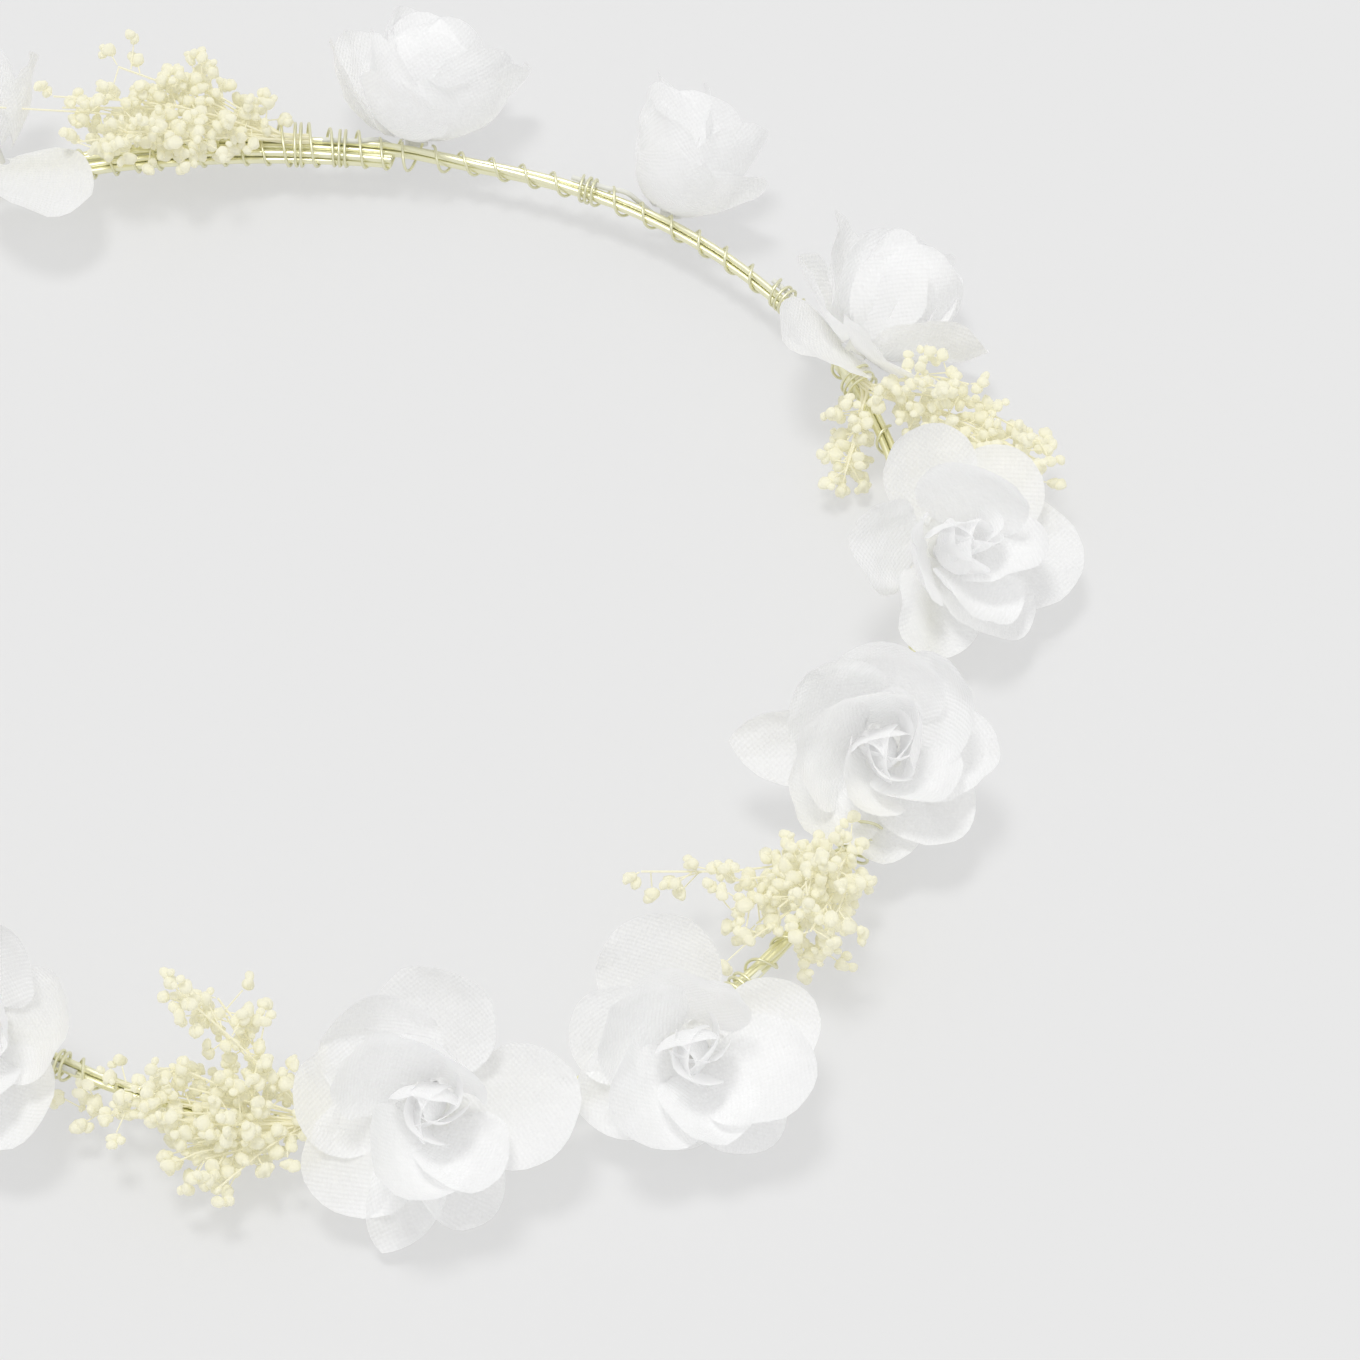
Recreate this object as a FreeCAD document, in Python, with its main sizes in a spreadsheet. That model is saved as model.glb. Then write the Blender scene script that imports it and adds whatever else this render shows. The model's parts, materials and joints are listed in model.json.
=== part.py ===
"""Flower crown: a ring of wire carrying fabric flowers and sprays of dried baby's breath.

Millimetres, +Z up.  The crown lies on a table at z = 0 with the middle of its outline at x = y = 0.
Everything is first worked out about the middle of the wire ring, and every sub-part is then moved by
the same Placement so that the lowest petals touch the table.
"""
import FreeCAD, Part
import Sketcher
import math
import os
import random

Vector = FreeCAD.Vector
UP = Vector(0, 0, 1)
ORIGIN = Vector(0, 0, 0)

# Driving sizes: name, value, what it is.
SIZES = [
    ("ring_radius", 91.0, "mean radius of the wire ring, for a 57 cm head"),
    ("ring_oval", 5.9, "how far the ring swells to an oval"),
    ("ring_oval_turn", -21.7, "direction of the oval's long axis, degrees"),
    ("ring_corner", 3.2, "how far the bent wire bulges at three rounded corners"),
    ("ring_corner_turn", 42.0, "direction of the first corner, degrees"),
    ("ring_lift", 8.5, "height of the ring's centre line above the table"),
    ("core_wire", 1.05, "diameter of the three ring wires"),
    ("wire_gap", 0.1, "air left between wires that lie side by side"),
    ("core_twists", 3.0, "turns that the ring wires make about each other"),
    ("splice_start", 81.0, "where the ring wires' ends begin to overlap, degrees"),
    ("splice_end", 114.0, "where the overlap ends, degrees"),
    ("binding_wire", 0.45, "diameter of the thin wire wound about the ring wires"),
    ("binding_pitch", 5.2, "advance of each open turn of the binding"),
    ("tie_pitch", 0.95, "advance of each tight turn where a stem is tied on"),
    ("tie_length", 2.6, "length of ring that each tie covers"),
    ("splice_pitch", 3.6, "advance of each turn over the middle of the splice"),
    ("stem_wire", 0.8, "diameter of a flower's stem wire"),
    ("stem_tail", 6.0, "length of stem that lies along the ring"),
    ("tie_lead", 12.0, "distance along the ring from a flower to its tie"),
    ("hub_radius", 1.8, "radius of the bead that the petals are glued to"),
    ("hub_length", 6.0, "length of that bead"),
    ("hub_socket", 4.0, "depth of the bead's hole for the stem wire"),
    ("hub_lift", 2.6, "air between a bead's side and the bound ring"),
    ("fabric", 0.3, "thickness of the petal fabric with its stiffening"),
    ("layer_step", 0.45, "extra radius at which each layer outside the first is glued"),
    ("backing_radius", 5.5, "radius of the round of cloth behind the petals of a flower on top of the ring"),
    ("backing_drop", 0.6, "how far that round lies below the roots of the outer petals"),
    ("large_petal_length", 18.5, "large petal die"),
    ("large_petal_width", 18.0, "large petal die"),
    ("medium_petal_length", 16.0, "medium petal die"),
    ("medium_petal_width", 15.0, "medium petal die"),
    ("small_petal_length", 12.0, "small petal die"),
    ("small_petal_width", 11.5, "small petal die"),
    ("long_petal_length", 15.5, "long petal die with a drawn-out tip"),
    ("long_petal_width", 12.5, "long petal die with a drawn-out tip"),
    ("bud_diameter", 2.0, "diameter of a dried flower bud"),
    ("sprig_wire", 0.3, "diameter of a spray's stalks"),
    ("root_radius", 0.95, "radius of the bunch of stalks where a spray is tied"),
]

# Flower row: name, place round the ring, side of the ring it sits on (0 outside, 90 on top), lean,
# heading of the lean, petals; all in degrees.
# Petal row: layer, die, azimuth, opening, roll, cup, curl, flip, wave.
# Azimuth turns about the flower's axis from +X towards +Y, opening is the petal's angle from the axis and
# roll turns it about its own length, in degrees.  Cup rolls its sides inwards, curl bends its length
# inwards, flip turns its lip back out and wave ripples its lip.
FLOWERS = [
    ("peony_1", 79.0, 0.0, 40.0, 84.0, [
        ("inner", "small", 80, 2, 15, 2.1, 0.60, 0.0, 0.02),
        ("inner", "small", 205, 8, 15, 1.3, 0.60, -0.2, 0.07),
        ("inner", "small", 318, 10, 15, 1.2, 0.60, -0.2, 0.08),
        ("inner", "small", 18, 15, 15, 1.0, 0.65, -0.3, 0.09),
        ("inner", "small", 138, 17, 15, 1.0, 0.65, -0.3, 0.09),
        ("inner", "small", 258, 19, 15, 1.0, 0.65, -0.3, 0.09),
        ("middle", "large", 246, 18, 12, 0.6, 0.8, 0.0, 0.05),
        ("middle", "large", 308, 26, 14, 0.6, 0.8, 0.0, 0.05),
        ("middle", "large", 132, 16, -18, 0.5, 0.1, 0.0, 0.05),
        ("middle", "medium", 188, 26, 14, 0.7, 0.6, 0.0, 0.05),
        ("middle", "medium", 45, 28, 12, 0.7, 0.7, 0.0, 0.05),
        ("outer", "large", 216, 40, 14, 0.5, 0.8, 0.0, 0.06),
        ("outer", "large", 276, 36, 14, 0.5, 1.0, 0.0, 0.06),
        ("outer", "large", 330, 50, 14, 0.5, 0.6, 0.2, 0.07),
        ("outer", "large", 356, 62, 12, 0.5, 0.4, 0.2, 0.07),
        ("outer", "large", 248, 82, 12, 0.9, 1.3, 0.0, 0.05),
        ("outer", "large", 304, 80, 12, 0.9, 1.2, 0.0, 0.05),
        ("outer", "large", 150, 44, 12, 0.5, 0.3, 0.0, 0.06),
        ("outer", "large", 184, 54, 12, 0.5, 0.5, 0.0, 0.06),
        ("outer", "medium", 75, 50, 10, 0.6, 0.5, 0.0, 0.05),
        ("outer", "medium", 22, 56, 10, 0.6, 0.5, 0.0, 0.05),
    ]),
    ("bud_rose_1", 52.5, -10.0, 36.0, 70.0, [
        ("inner", "small", 250, 2, 15, 2.1, 0.60, 0.0, 0.02),
        ("inner", "small", 15, 8, 15, 1.3, 0.60, -0.2, 0.07),
        ("inner", "small", 128, 10, 15, 1.2, 0.60, -0.2, 0.08),
        ("inner", "small", 188, 15, 15, 1.0, 0.65, -0.3, 0.09),
        ("inner", "small", 308, 17, 15, 1.0, 0.65, -0.3, 0.09),
        ("inner", "small", 68, 19, 15, 1.0, 0.65, -0.3, 0.09),
        ("middle", "large", 272, 14, 10, 0.7, 0.8, 0.0, 0.03),
        ("middle", "long", 150, 12, -14, 0.7, 0.1, -0.2, 0.03),
        ("middle", "large", 20, 20, 14, 0.8, 0.7, 0.0, 0.04),
        ("middle", "large", 205, 18, -12, 0.6, 0.5, 0.0, 0.05),
        ("outer", "large", 226, 32, 14, 0.6, 0.6, 0.0, 0.06),
        ("outer", "large", 330, 40, 12, 0.6, 0.5, 0.3, 0.06),
        ("outer", "medium", 90, 44, 10, 0.7, 0.4, 0.0, 0.05),
        ("outer", "large", 262, 78, 12, 0.9, 1.3, 0.0, 0.04),
        ("outer", "medium", 312, 74, 12, 0.8, 0.9, 0.0, 0.05),
    ]),
    ("peony_2", 29.0, -8.0, 46.0, 45.0, [
        ("inner", "small", 40, 2, 15, 2.1, 0.60, 0.0, 0.02),
        ("inner", "small", 165, 8, 15, 1.3, 0.60, -0.2, 0.07),
        ("inner", "small", 278, 10, 15, 1.2, 0.60, -0.2, 0.08),
        ("inner", "small", 338, 15, 15, 1.0, 0.65, -0.3, 0.09),
        ("inner", "small", 98, 17, 15, 1.0, 0.65, -0.3, 0.09),
        ("inner", "small", 218, 19, 15, 1.0, 0.65, -0.3, 0.09),
        ("middle", "large", 62, 20, 12, 0.6, 0.8, 0.0, 0.05),
        ("middle", "large", 356, 26, 14, 0.6, 0.7, 0.0, 0.05),
        ("middle", "medium", 120, 24, 12, 0.7, 0.3, -0.2, 0.06),
        ("middle", "large", 222, 22, 12, 0.7, 0.6, 0.0, 0.05),
        ("middle", "large", 290, 24, 14, 0.6, 0.7, 0.0, 0.05),
        ("outer", "long", 158, 38, 14, 0.8, 0.1, 0.0, 0.05),
        ("outer", "large", 92, 42, 12, 0.5, 0.6, 0.0, 0.06),
        ("outer", "large", 24, 44, 12, 0.5, 0.6, 0.2, 0.06),
        ("outer", "large", 326, 58, 12, 0.5, 0.4, 0.0, 0.06),
        ("outer", "large", 278, 76, 10, 0.5, 0.2, 0.0, 0.06),
        ("outer", "large", 236, 96, 10, 0.4, 0.3, 0.0, 0.06),
        ("outer", "medium", 200, 66, 14, 0.6, 0.3, 0.0, 0.06),
    ]),
    ("hydrangea_1", 3.0, 55.0, 34.0, -50.0, [
        ("inner", "small", 50, 2, 15, 2.1, 0.60, 0.0, 0.02),
        ("inner", "small", 175, 8, 15, 1.3, 0.60, -0.2, 0.07),
        ("inner", "small", 288, 10, 15, 1.2, 0.60, -0.2, 0.08),
        ("inner", "small", 348, 15, 15, 1.0, 0.65, -0.3, 0.09),
        ("inner", "small", 108, 17, 15, 1.0, 0.65, -0.3, 0.09),
        ("inner", "small", 228, 19, 15, 1.0, 0.65, -0.3, 0.09),
        ("middle", "large", 76, 40, 12, 0.6, 0.5, 0.2, 0.06),
        ("middle", "medium", 204, 46, 16, 0.7, 0.5, 0.0, 0.06),
        ("middle", "medium", 282, 52, 14, 0.7, 0.4, 0.0, 0.05),
        ("middle", "medium", 338, 40, 14, 0.7, 0.5, 0.0, 0.06),
        ("outer", "medium", 104, 78, 8, 0.4, 0.2, 0.0, 0.05),
        ("outer", "medium", 46, 74, 8, 0.4, 0.3, 0.0, 0.05),
        ("outer", "large", 354, 78, 8, 0.4, 0.2, 0.0, 0.05),
        ("outer", "medium", 300, 66, 10, 0.5, 0.3, 0.0, 0.06),
        ("outer", "medium", 252, 74, 10, 0.5, 0.3, 0.0, 0.06),
        ("outer", "medium", 184, 70, 12, 0.5, 0.3, 0.0, 0.06),
    ]),
    ("rose_1", -19.6, 104.0, 34.0, -84.0, [
        ("inner", "small", 60, 2, 15, 2.1, 0.60, 0.0, 0.02),
        ("inner", "small", 185, 8, 15, 1.3, 0.60, -0.2, 0.07),
        ("inner", "small", 298, 10, 15, 1.2, 0.60, -0.2, 0.08),
        ("inner", "small", 358, 15, 15, 1.0, 0.65, -0.3, 0.09),
        ("inner", "small", 118, 17, 15, 1.0, 0.65, -0.3, 0.09),
        ("inner", "small", 238, 19, 15, 1.0, 0.65, -0.3, 0.09),
        ("middle", "medium", 25, 28, 16, 0.9, 0.6, 0.1, 0.06),
        ("middle", "large", 112, 40, 16, 0.8, 0.6, 0.1, 0.06),
        ("middle", "medium", 232, 38, 16, 0.9, 0.5, 0.1, 0.06),
        ("middle", "large", 180, 48, 18, 0.8, 0.4, 0.0, 0.07),
        ("middle", "medium", 310, 42, 16, 0.8, 0.5, 0.1, 0.06),
        ("outer", "large", 134, 68, 10, 0.8, 0.8, 0.0, 0.06),
        ("outer", "large", 82, 60, 12, 0.7, 0.6, 0.0, 0.06),
        ("outer", "large", 36, 58, 12, 0.7, 0.6, 0.0, 0.06),
        ("outer", "medium", 350, 64, 12, 0.5, 0.4, 0.0, 0.06),
        ("outer", "medium", 304, 68, 12, 0.5, 0.4, 0.0, 0.06),
        ("outer", "medium", 262, 66, 12, 0.5, 0.4, 0.0, 0.06),
        ("outer", "large", 216, 54, 12, 0.6, 0.3, 0.0, 0.06),
        ("outer", "long", 178, 80, 12, 0.8, 0.0, 0.0, 0.05),
    ]),
    ("hydrangea_2", -53.0, 40.0, 34.0, -86.0, [
        ("inner", "small", 60, 2, 15, 2.1, 0.60, 0.0, 0.02),
        ("inner", "small", 185, 8, 15, 1.3, 0.60, -0.2, 0.07),
        ("inner", "small", 298, 10, 15, 1.2, 0.60, -0.2, 0.08),
        ("inner", "small", 358, 15, 15, 1.0, 0.65, -0.3, 0.09),
        ("inner", "small", 118, 17, 15, 1.0, 0.65, -0.3, 0.09),
        ("inner", "small", 238, 19, 15, 1.0, 0.65, -0.3, 0.09),
        ("middle", "large", 158, 46, 14, 0.7, 0.3, 0.0, 0.06),
        ("middle", "large", 226, 54, 12, 0.7, 0.5, 0.0, 0.05),
        ("middle", "large", 334, 58, 12, 0.5, 0.4, 0.0, 0.05),
        ("middle", "large", 88, 40, 14, 0.7, 0.3, 0.0, 0.06),
        ("middle", "medium", 280, 50, 12, 0.6, 0.4, 0.0, 0.06),
        ("outer", "medium", 168, 76, 10, 0.5, 0.3, 0.0, 0.05),
        ("outer", "medium", 210, 78, 8, 0.5, 0.3, 0.0, 0.06),
        ("outer", "small", 258, 78, 8, 0.4, 0.2, 0.0, 0.05),
        ("outer", "medium", 304, 66, 8, 0.5, 0.3, 0.0, 0.06),
        ("outer", "medium", 12, 74, 8, 0.5, 0.2, 0.0, 0.06),
        ("outer", "large", 114, 74, 8, 0.4, 0.2, 0.0, 0.05),
    ]),
    ("rose_2", -75.0, 88.0, 34.0, -90.0, [
        ("inner", "small", 40, 2, 15, 2.1, 0.60, 0.0, 0.02),
        ("inner", "small", 165, 8, 15, 1.3, 0.60, -0.2, 0.07),
        ("inner", "small", 278, 10, 15, 1.2, 0.60, -0.2, 0.08),
        ("inner", "small", 338, 15, 15, 1.0, 0.65, -0.3, 0.09),
        ("inner", "small", 98, 17, 15, 1.0, 0.65, -0.3, 0.09),
        ("inner", "small", 218, 19, 15, 1.0, 0.65, -0.3, 0.09),
        ("middle", "large", 138, 46, 18, 0.8, 0.3, 0.0, 0.06),
        ("middle", "large", 244, 46, 12, 0.8, 0.6, 0.0, 0.06),
        ("middle", "large", 72, 36, 14, 0.7, 0.4, 0.3, 0.07),
        ("middle", "medium", 300, 50, 14, 0.8, 0.4, 0.0, 0.06),
        ("outer", "large", 356, 76, 8, 0.35, 0.2, 0.0, 0.04),
        ("outer", "large", 172, 72, 12, 0.5, 0.4, 0.0, 0.06),
        ("outer", "large", 130, 66, 12, 0.6, 0.3, 0.0, 0.07),
        ("outer", "large", 86, 70, 10, 0.5, 0.2, 0.0, 0.06),
        ("outer", "large", 216, 78, 10, 0.5, 0.3, 0.0, 0.06),
        ("outer", "long", 252, 74, 8, 1.0, 0.1, -0.2, 0.05),
        ("outer", "medium", 288, 70, 8, 1.0, 0.2, -0.2, 0.05),
    ]),
    ("magnolia_1", -117.0, 60.0, 34.0, -104.0, [
        ("inner", "small", 90, 2, 15, 2.1, 0.60, 0.0, 0.02),
        ("inner", "small", 215, 8, 15, 1.3, 0.60, -0.2, 0.07),
        ("inner", "small", 328, 10, 15, 1.2, 0.60, -0.2, 0.08),
        ("inner", "small", 28, 15, 15, 1.0, 0.65, -0.3, 0.09),
        ("inner", "small", 148, 17, 15, 1.0, 0.65, -0.3, 0.09),
        ("inner", "small", 268, 19, 15, 1.0, 0.65, -0.3, 0.09),
        ("middle", "medium", 30, 38, 10, 0.9, 0.6, 0.0, 0.03),
        ("middle", "medium", 150, 40, 10, 0.9, 0.6, 0.0, 0.03),
        ("middle", "large", 262, 42, 10, 0.9, 0.7, 0.0, 0.03),
        ("outer", "large", 0, 64, 8, 0.7, 0.7, 0.0, 0.03),
        ("outer", "large", 75, 66, 8, 0.7, 0.6, 0.0, 0.03),
        ("outer", "large", 145, 66, 8, 0.7, 0.6, 0.0, 0.03),
        ("outer", "large", 218, 68, 8, 0.7, 0.6, 0.0, 0.03),
        ("outer", "large", 292, 68, 8, 0.7, 0.6, 0.0, 0.03),
    ]),
    ("hydrangea_3", -150.0, 45.0, 34.0, -140.0, [
        ("inner", "small", 40, 2, 15, 2.1, 0.60, 0.0, 0.02),
        ("inner", "small", 165, 8, 15, 1.3, 0.60, -0.2, 0.07),
        ("inner", "small", 278, 10, 15, 1.2, 0.60, -0.2, 0.08),
        ("inner", "small", 338, 15, 15, 1.0, 0.65, -0.3, 0.09),
        ("inner", "small", 98, 17, 15, 1.0, 0.65, -0.3, 0.09),
        ("inner", "small", 218, 19, 15, 1.0, 0.65, -0.3, 0.09),
        ("middle", "medium", 290, 52, 12, 0.7, 0.4, 0.0, 0.05),
        ("middle", "large", 95, 52, -12, 0.7, 0.4, 0.0, 0.05),
        ("middle", "medium", 195, 50, 14, 0.8, 0.3, 0.0, 0.05),
        ("outer", "medium", 20, 76, 8, 0.5, 0.2, 0.0, 0.05),
        ("outer", "large", 130, 76, 0, 0.4, 0.2, 0.0, 0.05),
        ("outer", "medium", 180, 76, 10, 0.5, 0.2, 0.0, 0.05),
        ("outer", "large", 245, 78, 0, 0.5, 0.3, 0.0, 0.05),
        ("outer", "medium", 315, 78, 10, 0.5, 0.2, 0.0, 0.05),
        ("outer", "medium", 70, 74, 0, 0.5, 0.2, 0.0, 0.05),
    ]),
    ("rose_3", -178.0, 50.0, 36.0, 178.0, [
        ("inner", "small", 70, 2, 15, 2.1, 0.60, 0.0, 0.02),
        ("inner", "small", 195, 8, 15, 1.3, 0.60, -0.2, 0.07),
        ("inner", "small", 308, 10, 15, 1.2, 0.60, -0.2, 0.08),
        ("inner", "small", 8, 15, 15, 1.0, 0.65, -0.3, 0.09),
        ("inner", "small", 128, 17, 15, 1.0, 0.65, -0.3, 0.09),
        ("inner", "small", 248, 19, 15, 1.0, 0.65, -0.3, 0.09),
        ("middle", "medium", 10, 36, 14, 1.0, 0.5, 0.0, 0.04),
        ("middle", "large", 100, 40, 14, 1.0, 0.5, 0.0, 0.04),
        ("middle", "medium", 190, 38, 14, 1.0, 0.5, 0.0, 0.04),
        ("middle", "medium", 280, 40, 14, 0.9, 0.5, 0.0, 0.04),
        ("outer", "large", 50, 66, 8, 0.6, 0.4, 0.1, 0.05),
        ("outer", "large", 122, 68, 8, 0.6, 0.4, 0.1, 0.05),
        ("outer", "medium", 180, 70, 8, 0.6, 0.3, 0.0, 0.05),
        ("outer", "large", 238, 72, 8, 0.6, 0.4, 0.0, 0.05),
        ("outer", "large", 315, 68, 8, 0.6, 0.4, 0.1, 0.05),
    ]),
    ("peony_3", 151.0, 10.0, 40.0, 150.0, [
        ("inner", "small", 90, 2, 15, 2.1, 0.60, 0.0, 0.02),
        ("inner", "small", 215, 8, 15, 1.3, 0.60, -0.2, 0.07),
        ("inner", "small", 328, 10, 15, 1.2, 0.60, -0.2, 0.08),
        ("inner", "small", 28, 15, 15, 1.0, 0.65, -0.3, 0.09),
        ("inner", "small", 148, 17, 15, 1.0, 0.65, -0.3, 0.09),
        ("inner", "small", 268, 19, 15, 1.0, 0.65, -0.3, 0.09),
        ("middle", "medium", 30, 28, 10, 0.9, 0.8, 0.0, 0.04),
        ("middle", "large", 110, 28, 10, 0.9, 0.8, 0.0, 0.04),
        ("middle", "medium", 200, 30, 10, 0.9, 0.8, 0.0, 0.04),
        ("middle", "large", 290, 28, 10, 0.9, 0.8, 0.0, 0.04),
        ("outer", "medium", 70, 52, 10, 0.7, 0.5, 0.0, 0.05),
        ("outer", "medium", 155, 56, 10, 0.7, 0.4, 0.0, 0.05),
        ("outer", "large", 250, 78, 8, 0.5, 0.3, 0.0, 0.05),
        ("outer", "medium", 335, 58, 10, 0.7, 0.4, 0.0, 0.05),
    ]),
    ("bud_rose_2", 121.5, 14.0, 40.0, 120.0, [
        ("inner", "small", 270, 2, 15, 2.1, 0.60, 0.0, 0.02),
        ("inner", "small", 35, 8, 15, 1.3, 0.60, -0.2, 0.07),
        ("inner", "small", 148, 10, 15, 1.2, 0.60, -0.2, 0.08),
        ("inner", "small", 208, 15, 15, 1.0, 0.65, -0.3, 0.09),
        ("inner", "small", 328, 17, 15, 1.0, 0.65, -0.3, 0.09),
        ("inner", "small", 88, 19, 15, 1.0, 0.65, -0.3, 0.09),
        ("middle", "medium", 200, 20, 10, 1.0, 0.7, 0.0, 0.03),
        ("middle", "large", 310, 22, 10, 1.0, 0.8, 0.0, 0.03),
        ("middle", "medium", 80, 22, 10, 1.0, 0.7, 0.0, 0.03),
        ("outer", "medium", 10, 48, 10, 0.7, 0.4, 0.1, 0.05),
        ("outer", "medium", 130, 50, 10, 0.7, 0.4, 0.1, 0.05),
        ("outer", "large", 306, 118, 8, 0.4, 0.1, 0.0, 0.04),
    ]),
]

# Spray row: name, where it is tied (degrees), which way it runs along the ring, seed, tufts.
# Tuft row: how far it reaches along the ring (degrees), outward, upward, spread, stalks.
SPRAYS = [
    ("babys_breath_1", 91.0, 1, 11, [
        (17.0, 4.0, 5.0, 5.0, 10), (22.0, 1.0, 3.0, 4.0, 6), (28.0, 6.0, 8.0, 3.0, 3), (12.0, 5.0, 7.0, 4.0, 5)]),
    ("babys_breath_2", 24.0, -1, 23, [
        (14.0, 17.0, 5.0, 4.0, 5), (8.0, 9.0, 7.0, 4.0, 4), (9.0, -7.0, -2.0, 3.0, 4), (17.0, 21.0, 8.0, 5.0, 3)]),
    ("babys_breath_3", -28.0, -1, 37, [
        (12.0, 2.0, 7.0, 5.0, 9), (16.0, -5.0, 7.0, 4.0, 6), (8.0, 3.0, 8.0, 5.0, 6), (20.0, -19.0, 6.0, 2.0, 1)]),
    ("babys_breath_4", -84.0, -1, 41, [
        (14.0, 3.0, 5.0, 6.0, 13), (10.0, 8.0, 2.0, 4.0, 8), (15.0, -11.0, 13.0, 4.0, 4), (21.0, 3.0, 4.0, 4.0, 5)]),
    ("babys_breath_5", -125.0, -1, 59, [
        (13.0, 2.0, 7.0, 5.0, 9), (17.0, 6.0, 5.0, 4.0, 6)]),
    ("babys_breath_6", 169.0, -1, 67, [
        (8.0, 3.0, 7.0, 5.0, 7), (12.0, -3.0, 7.0, 4.0, 6)]),
]
BUDS_PER_STALK = 15
BINDING_SPLITS = (78.0, -12.0, -102.0, -192.0)
POINTS_PER_TURN = 6
LAYERS = ("outer", "middle", "inner")
LAYER_HEIGHTS = (-0.30, -0.05, 0.20)    # shares of the bead's length, from its middle
STEM_SIDE = math.radians(55)            # a flower's stem lies on the ring's outer shoulder
ROOT_SIDE = math.radians(80)            # a spray is tied on top of the ring
SPLICE_RAMP = math.radians(9)           # over which the doubled wires close up again
SPLIT_GAP = math.radians(1.0)           # air between two lengths of binding wire
CLAW = 0.10                             # share of a petal's length hidden in the glue
MOST_FAN = 0.95                         # limits how bluntly a petal's sides leave its base
LONG_DIE = "long"
TIP_SHARE = 0.25                        # how far the long petal's tip is drawn out, of its length
WAVES = 4.2                             # ripples across a petal's lip, radians
PETAL_ROWS, PETAL_COLUMNS = 6, 9
BACKED_SIDE = 40.0                      # flowers that sit at least this far up the ring have a backing, degrees
HUB_FILLET = 0.8                        # share of the bead's radius
SOCKET_END = 0.2                        # the stem stops this short of the socket's end

doc = FreeCAD.newDocument("flower_crown")
sheet = doc.addObject("Spreadsheet::Sheet", "sizes")
for row, (name, number, meaning) in enumerate(SIZES, start=1):
    sheet.set("A%d" % row, name)
    sheet.set("B%d" % row, str(number))
    sheet.set("C%d" % row, meaning)
    sheet.setAlias("B%d" % row, name)
doc.recompute()
CELLS = {name: float(sheet.get(name)) for name, _, _ in SIZES}


def size(name):
    """The sheet's value for a driving size."""
    return CELLS[name]


# ---------------------------------------------------------------- the ring's centre line
def ring_point(turn):
    """Point of the ring's centre line in the direction turn, in radians."""
    radius = size("ring_radius")
    radius += size("ring_oval") * math.cos(2 * (turn - math.radians(size("ring_oval_turn"))))
    radius += size("ring_corner") * math.cos(3 * (turn - math.radians(size("ring_corner_turn"))))
    return Vector(radius * math.cos(turn), radius * math.sin(turn), size("ring_lift"))


def ring_frame(turn):
    """Centre-line point, direction along the ring and level direction out of it."""
    nudge = 0.001
    along = (ring_point(turn + nudge) - ring_point(turn - nudge)).normalize()
    return ring_point(turn), along, along.cross(UP)


def ring_spot(turn, outward, upward):
    middle, along, outside = ring_frame(turn)
    return middle + outside * outward + UP * upward


def smooth_step(value):
    value = min(max(value, 0.0), 1.0)
    return value * value * (3 - 2 * value)


def wrapped(turn):
    """The same direction between minus pi and pi."""
    return (turn + math.pi) % (2 * math.pi) - math.pi


# ---------------------------------------------------------------- tubes
def rounded_path(points):
    """Straight runs joined by tangent arcs; each arc uses 0.45 of its shorter run."""
    edges = []
    last = points[0]
    for before, corner, after in zip(points, points[1:], points[2:]):
        back = before - corner
        ahead = after - corner
        trim = 0.45 * min(back.Length, ahead.Length)
        back.normalize()
        ahead.normalize()
        half_turn = (math.pi - back.getAngle(ahead)) / 2
        if half_turn < 0.002:
            continue
        radius = trim / math.tan(half_turn)
        inwards = (back + ahead).normalize()
        start = corner + back * trim
        crest = corner + inwards * (radius / math.cos(half_turn) - radius)
        end = corner + ahead * trim
        edges.append(Part.LineSegment(last, start).toShape())
        edges.append(Part.Arc(start, crest, end).toShape())
        last = end
    edges.append(Part.LineSegment(last, points[-1]).toShape())
    return Part.Wire(edges)


def tube(points, diameter):
    path = rounded_path(points)
    start = (points[1] - points[0]).normalize()
    ring = Part.Wire(Part.Circle(points[0], start, diameter / 2).toShape())
    return path.makePipeShell([ring], True, False)


def swept_wire(name, points, diameter_name):
    """A wire as a Part::Sweep whose section's radius is bound to the sheet."""
    path = doc.addObject("Part::Feature", name + "_path")
    path.Shape = rounded_path(points)
    section = doc.addObject("Part::Circle", name + "_section")
    section.setExpression("Radius", "sizes.%s / 2" % diameter_name)
    start = (points[1] - points[0]).normalize()
    section.Placement = FreeCAD.Placement(points[0], FreeCAD.Rotation(UP, start))
    wire = doc.addObject("Part::Sweep", name)
    wire.Sections = [section]
    wire.Spine = (path, ["Edge%d" % (index + 1) for index in range(len(path.Shape.Edges))])
    wire.Solid = True
    wire.Label = name
    return wire


def computed(name, shapes):
    """A sub-part whose solids are worked out by this file."""
    part = doc.addObject("Part::Feature", name)
    part.Shape = Part.makeCompound(shapes)
    part.Label = name
    return part


# ---------------------------------------------------------------- ring wires
def strand_circle():
    """Radius on which three wires lie about the middle of their bundle."""
    return (size("core_wire") + size("wire_gap")) / math.sqrt(3)


def bundle_radius():
    return strand_circle() + size("core_wire") / 2


def splice_side_step():
    """How far each bundle moves sideways where the two ends lie side by side."""
    return bundle_radius() + size("wire_gap") / 2


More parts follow.
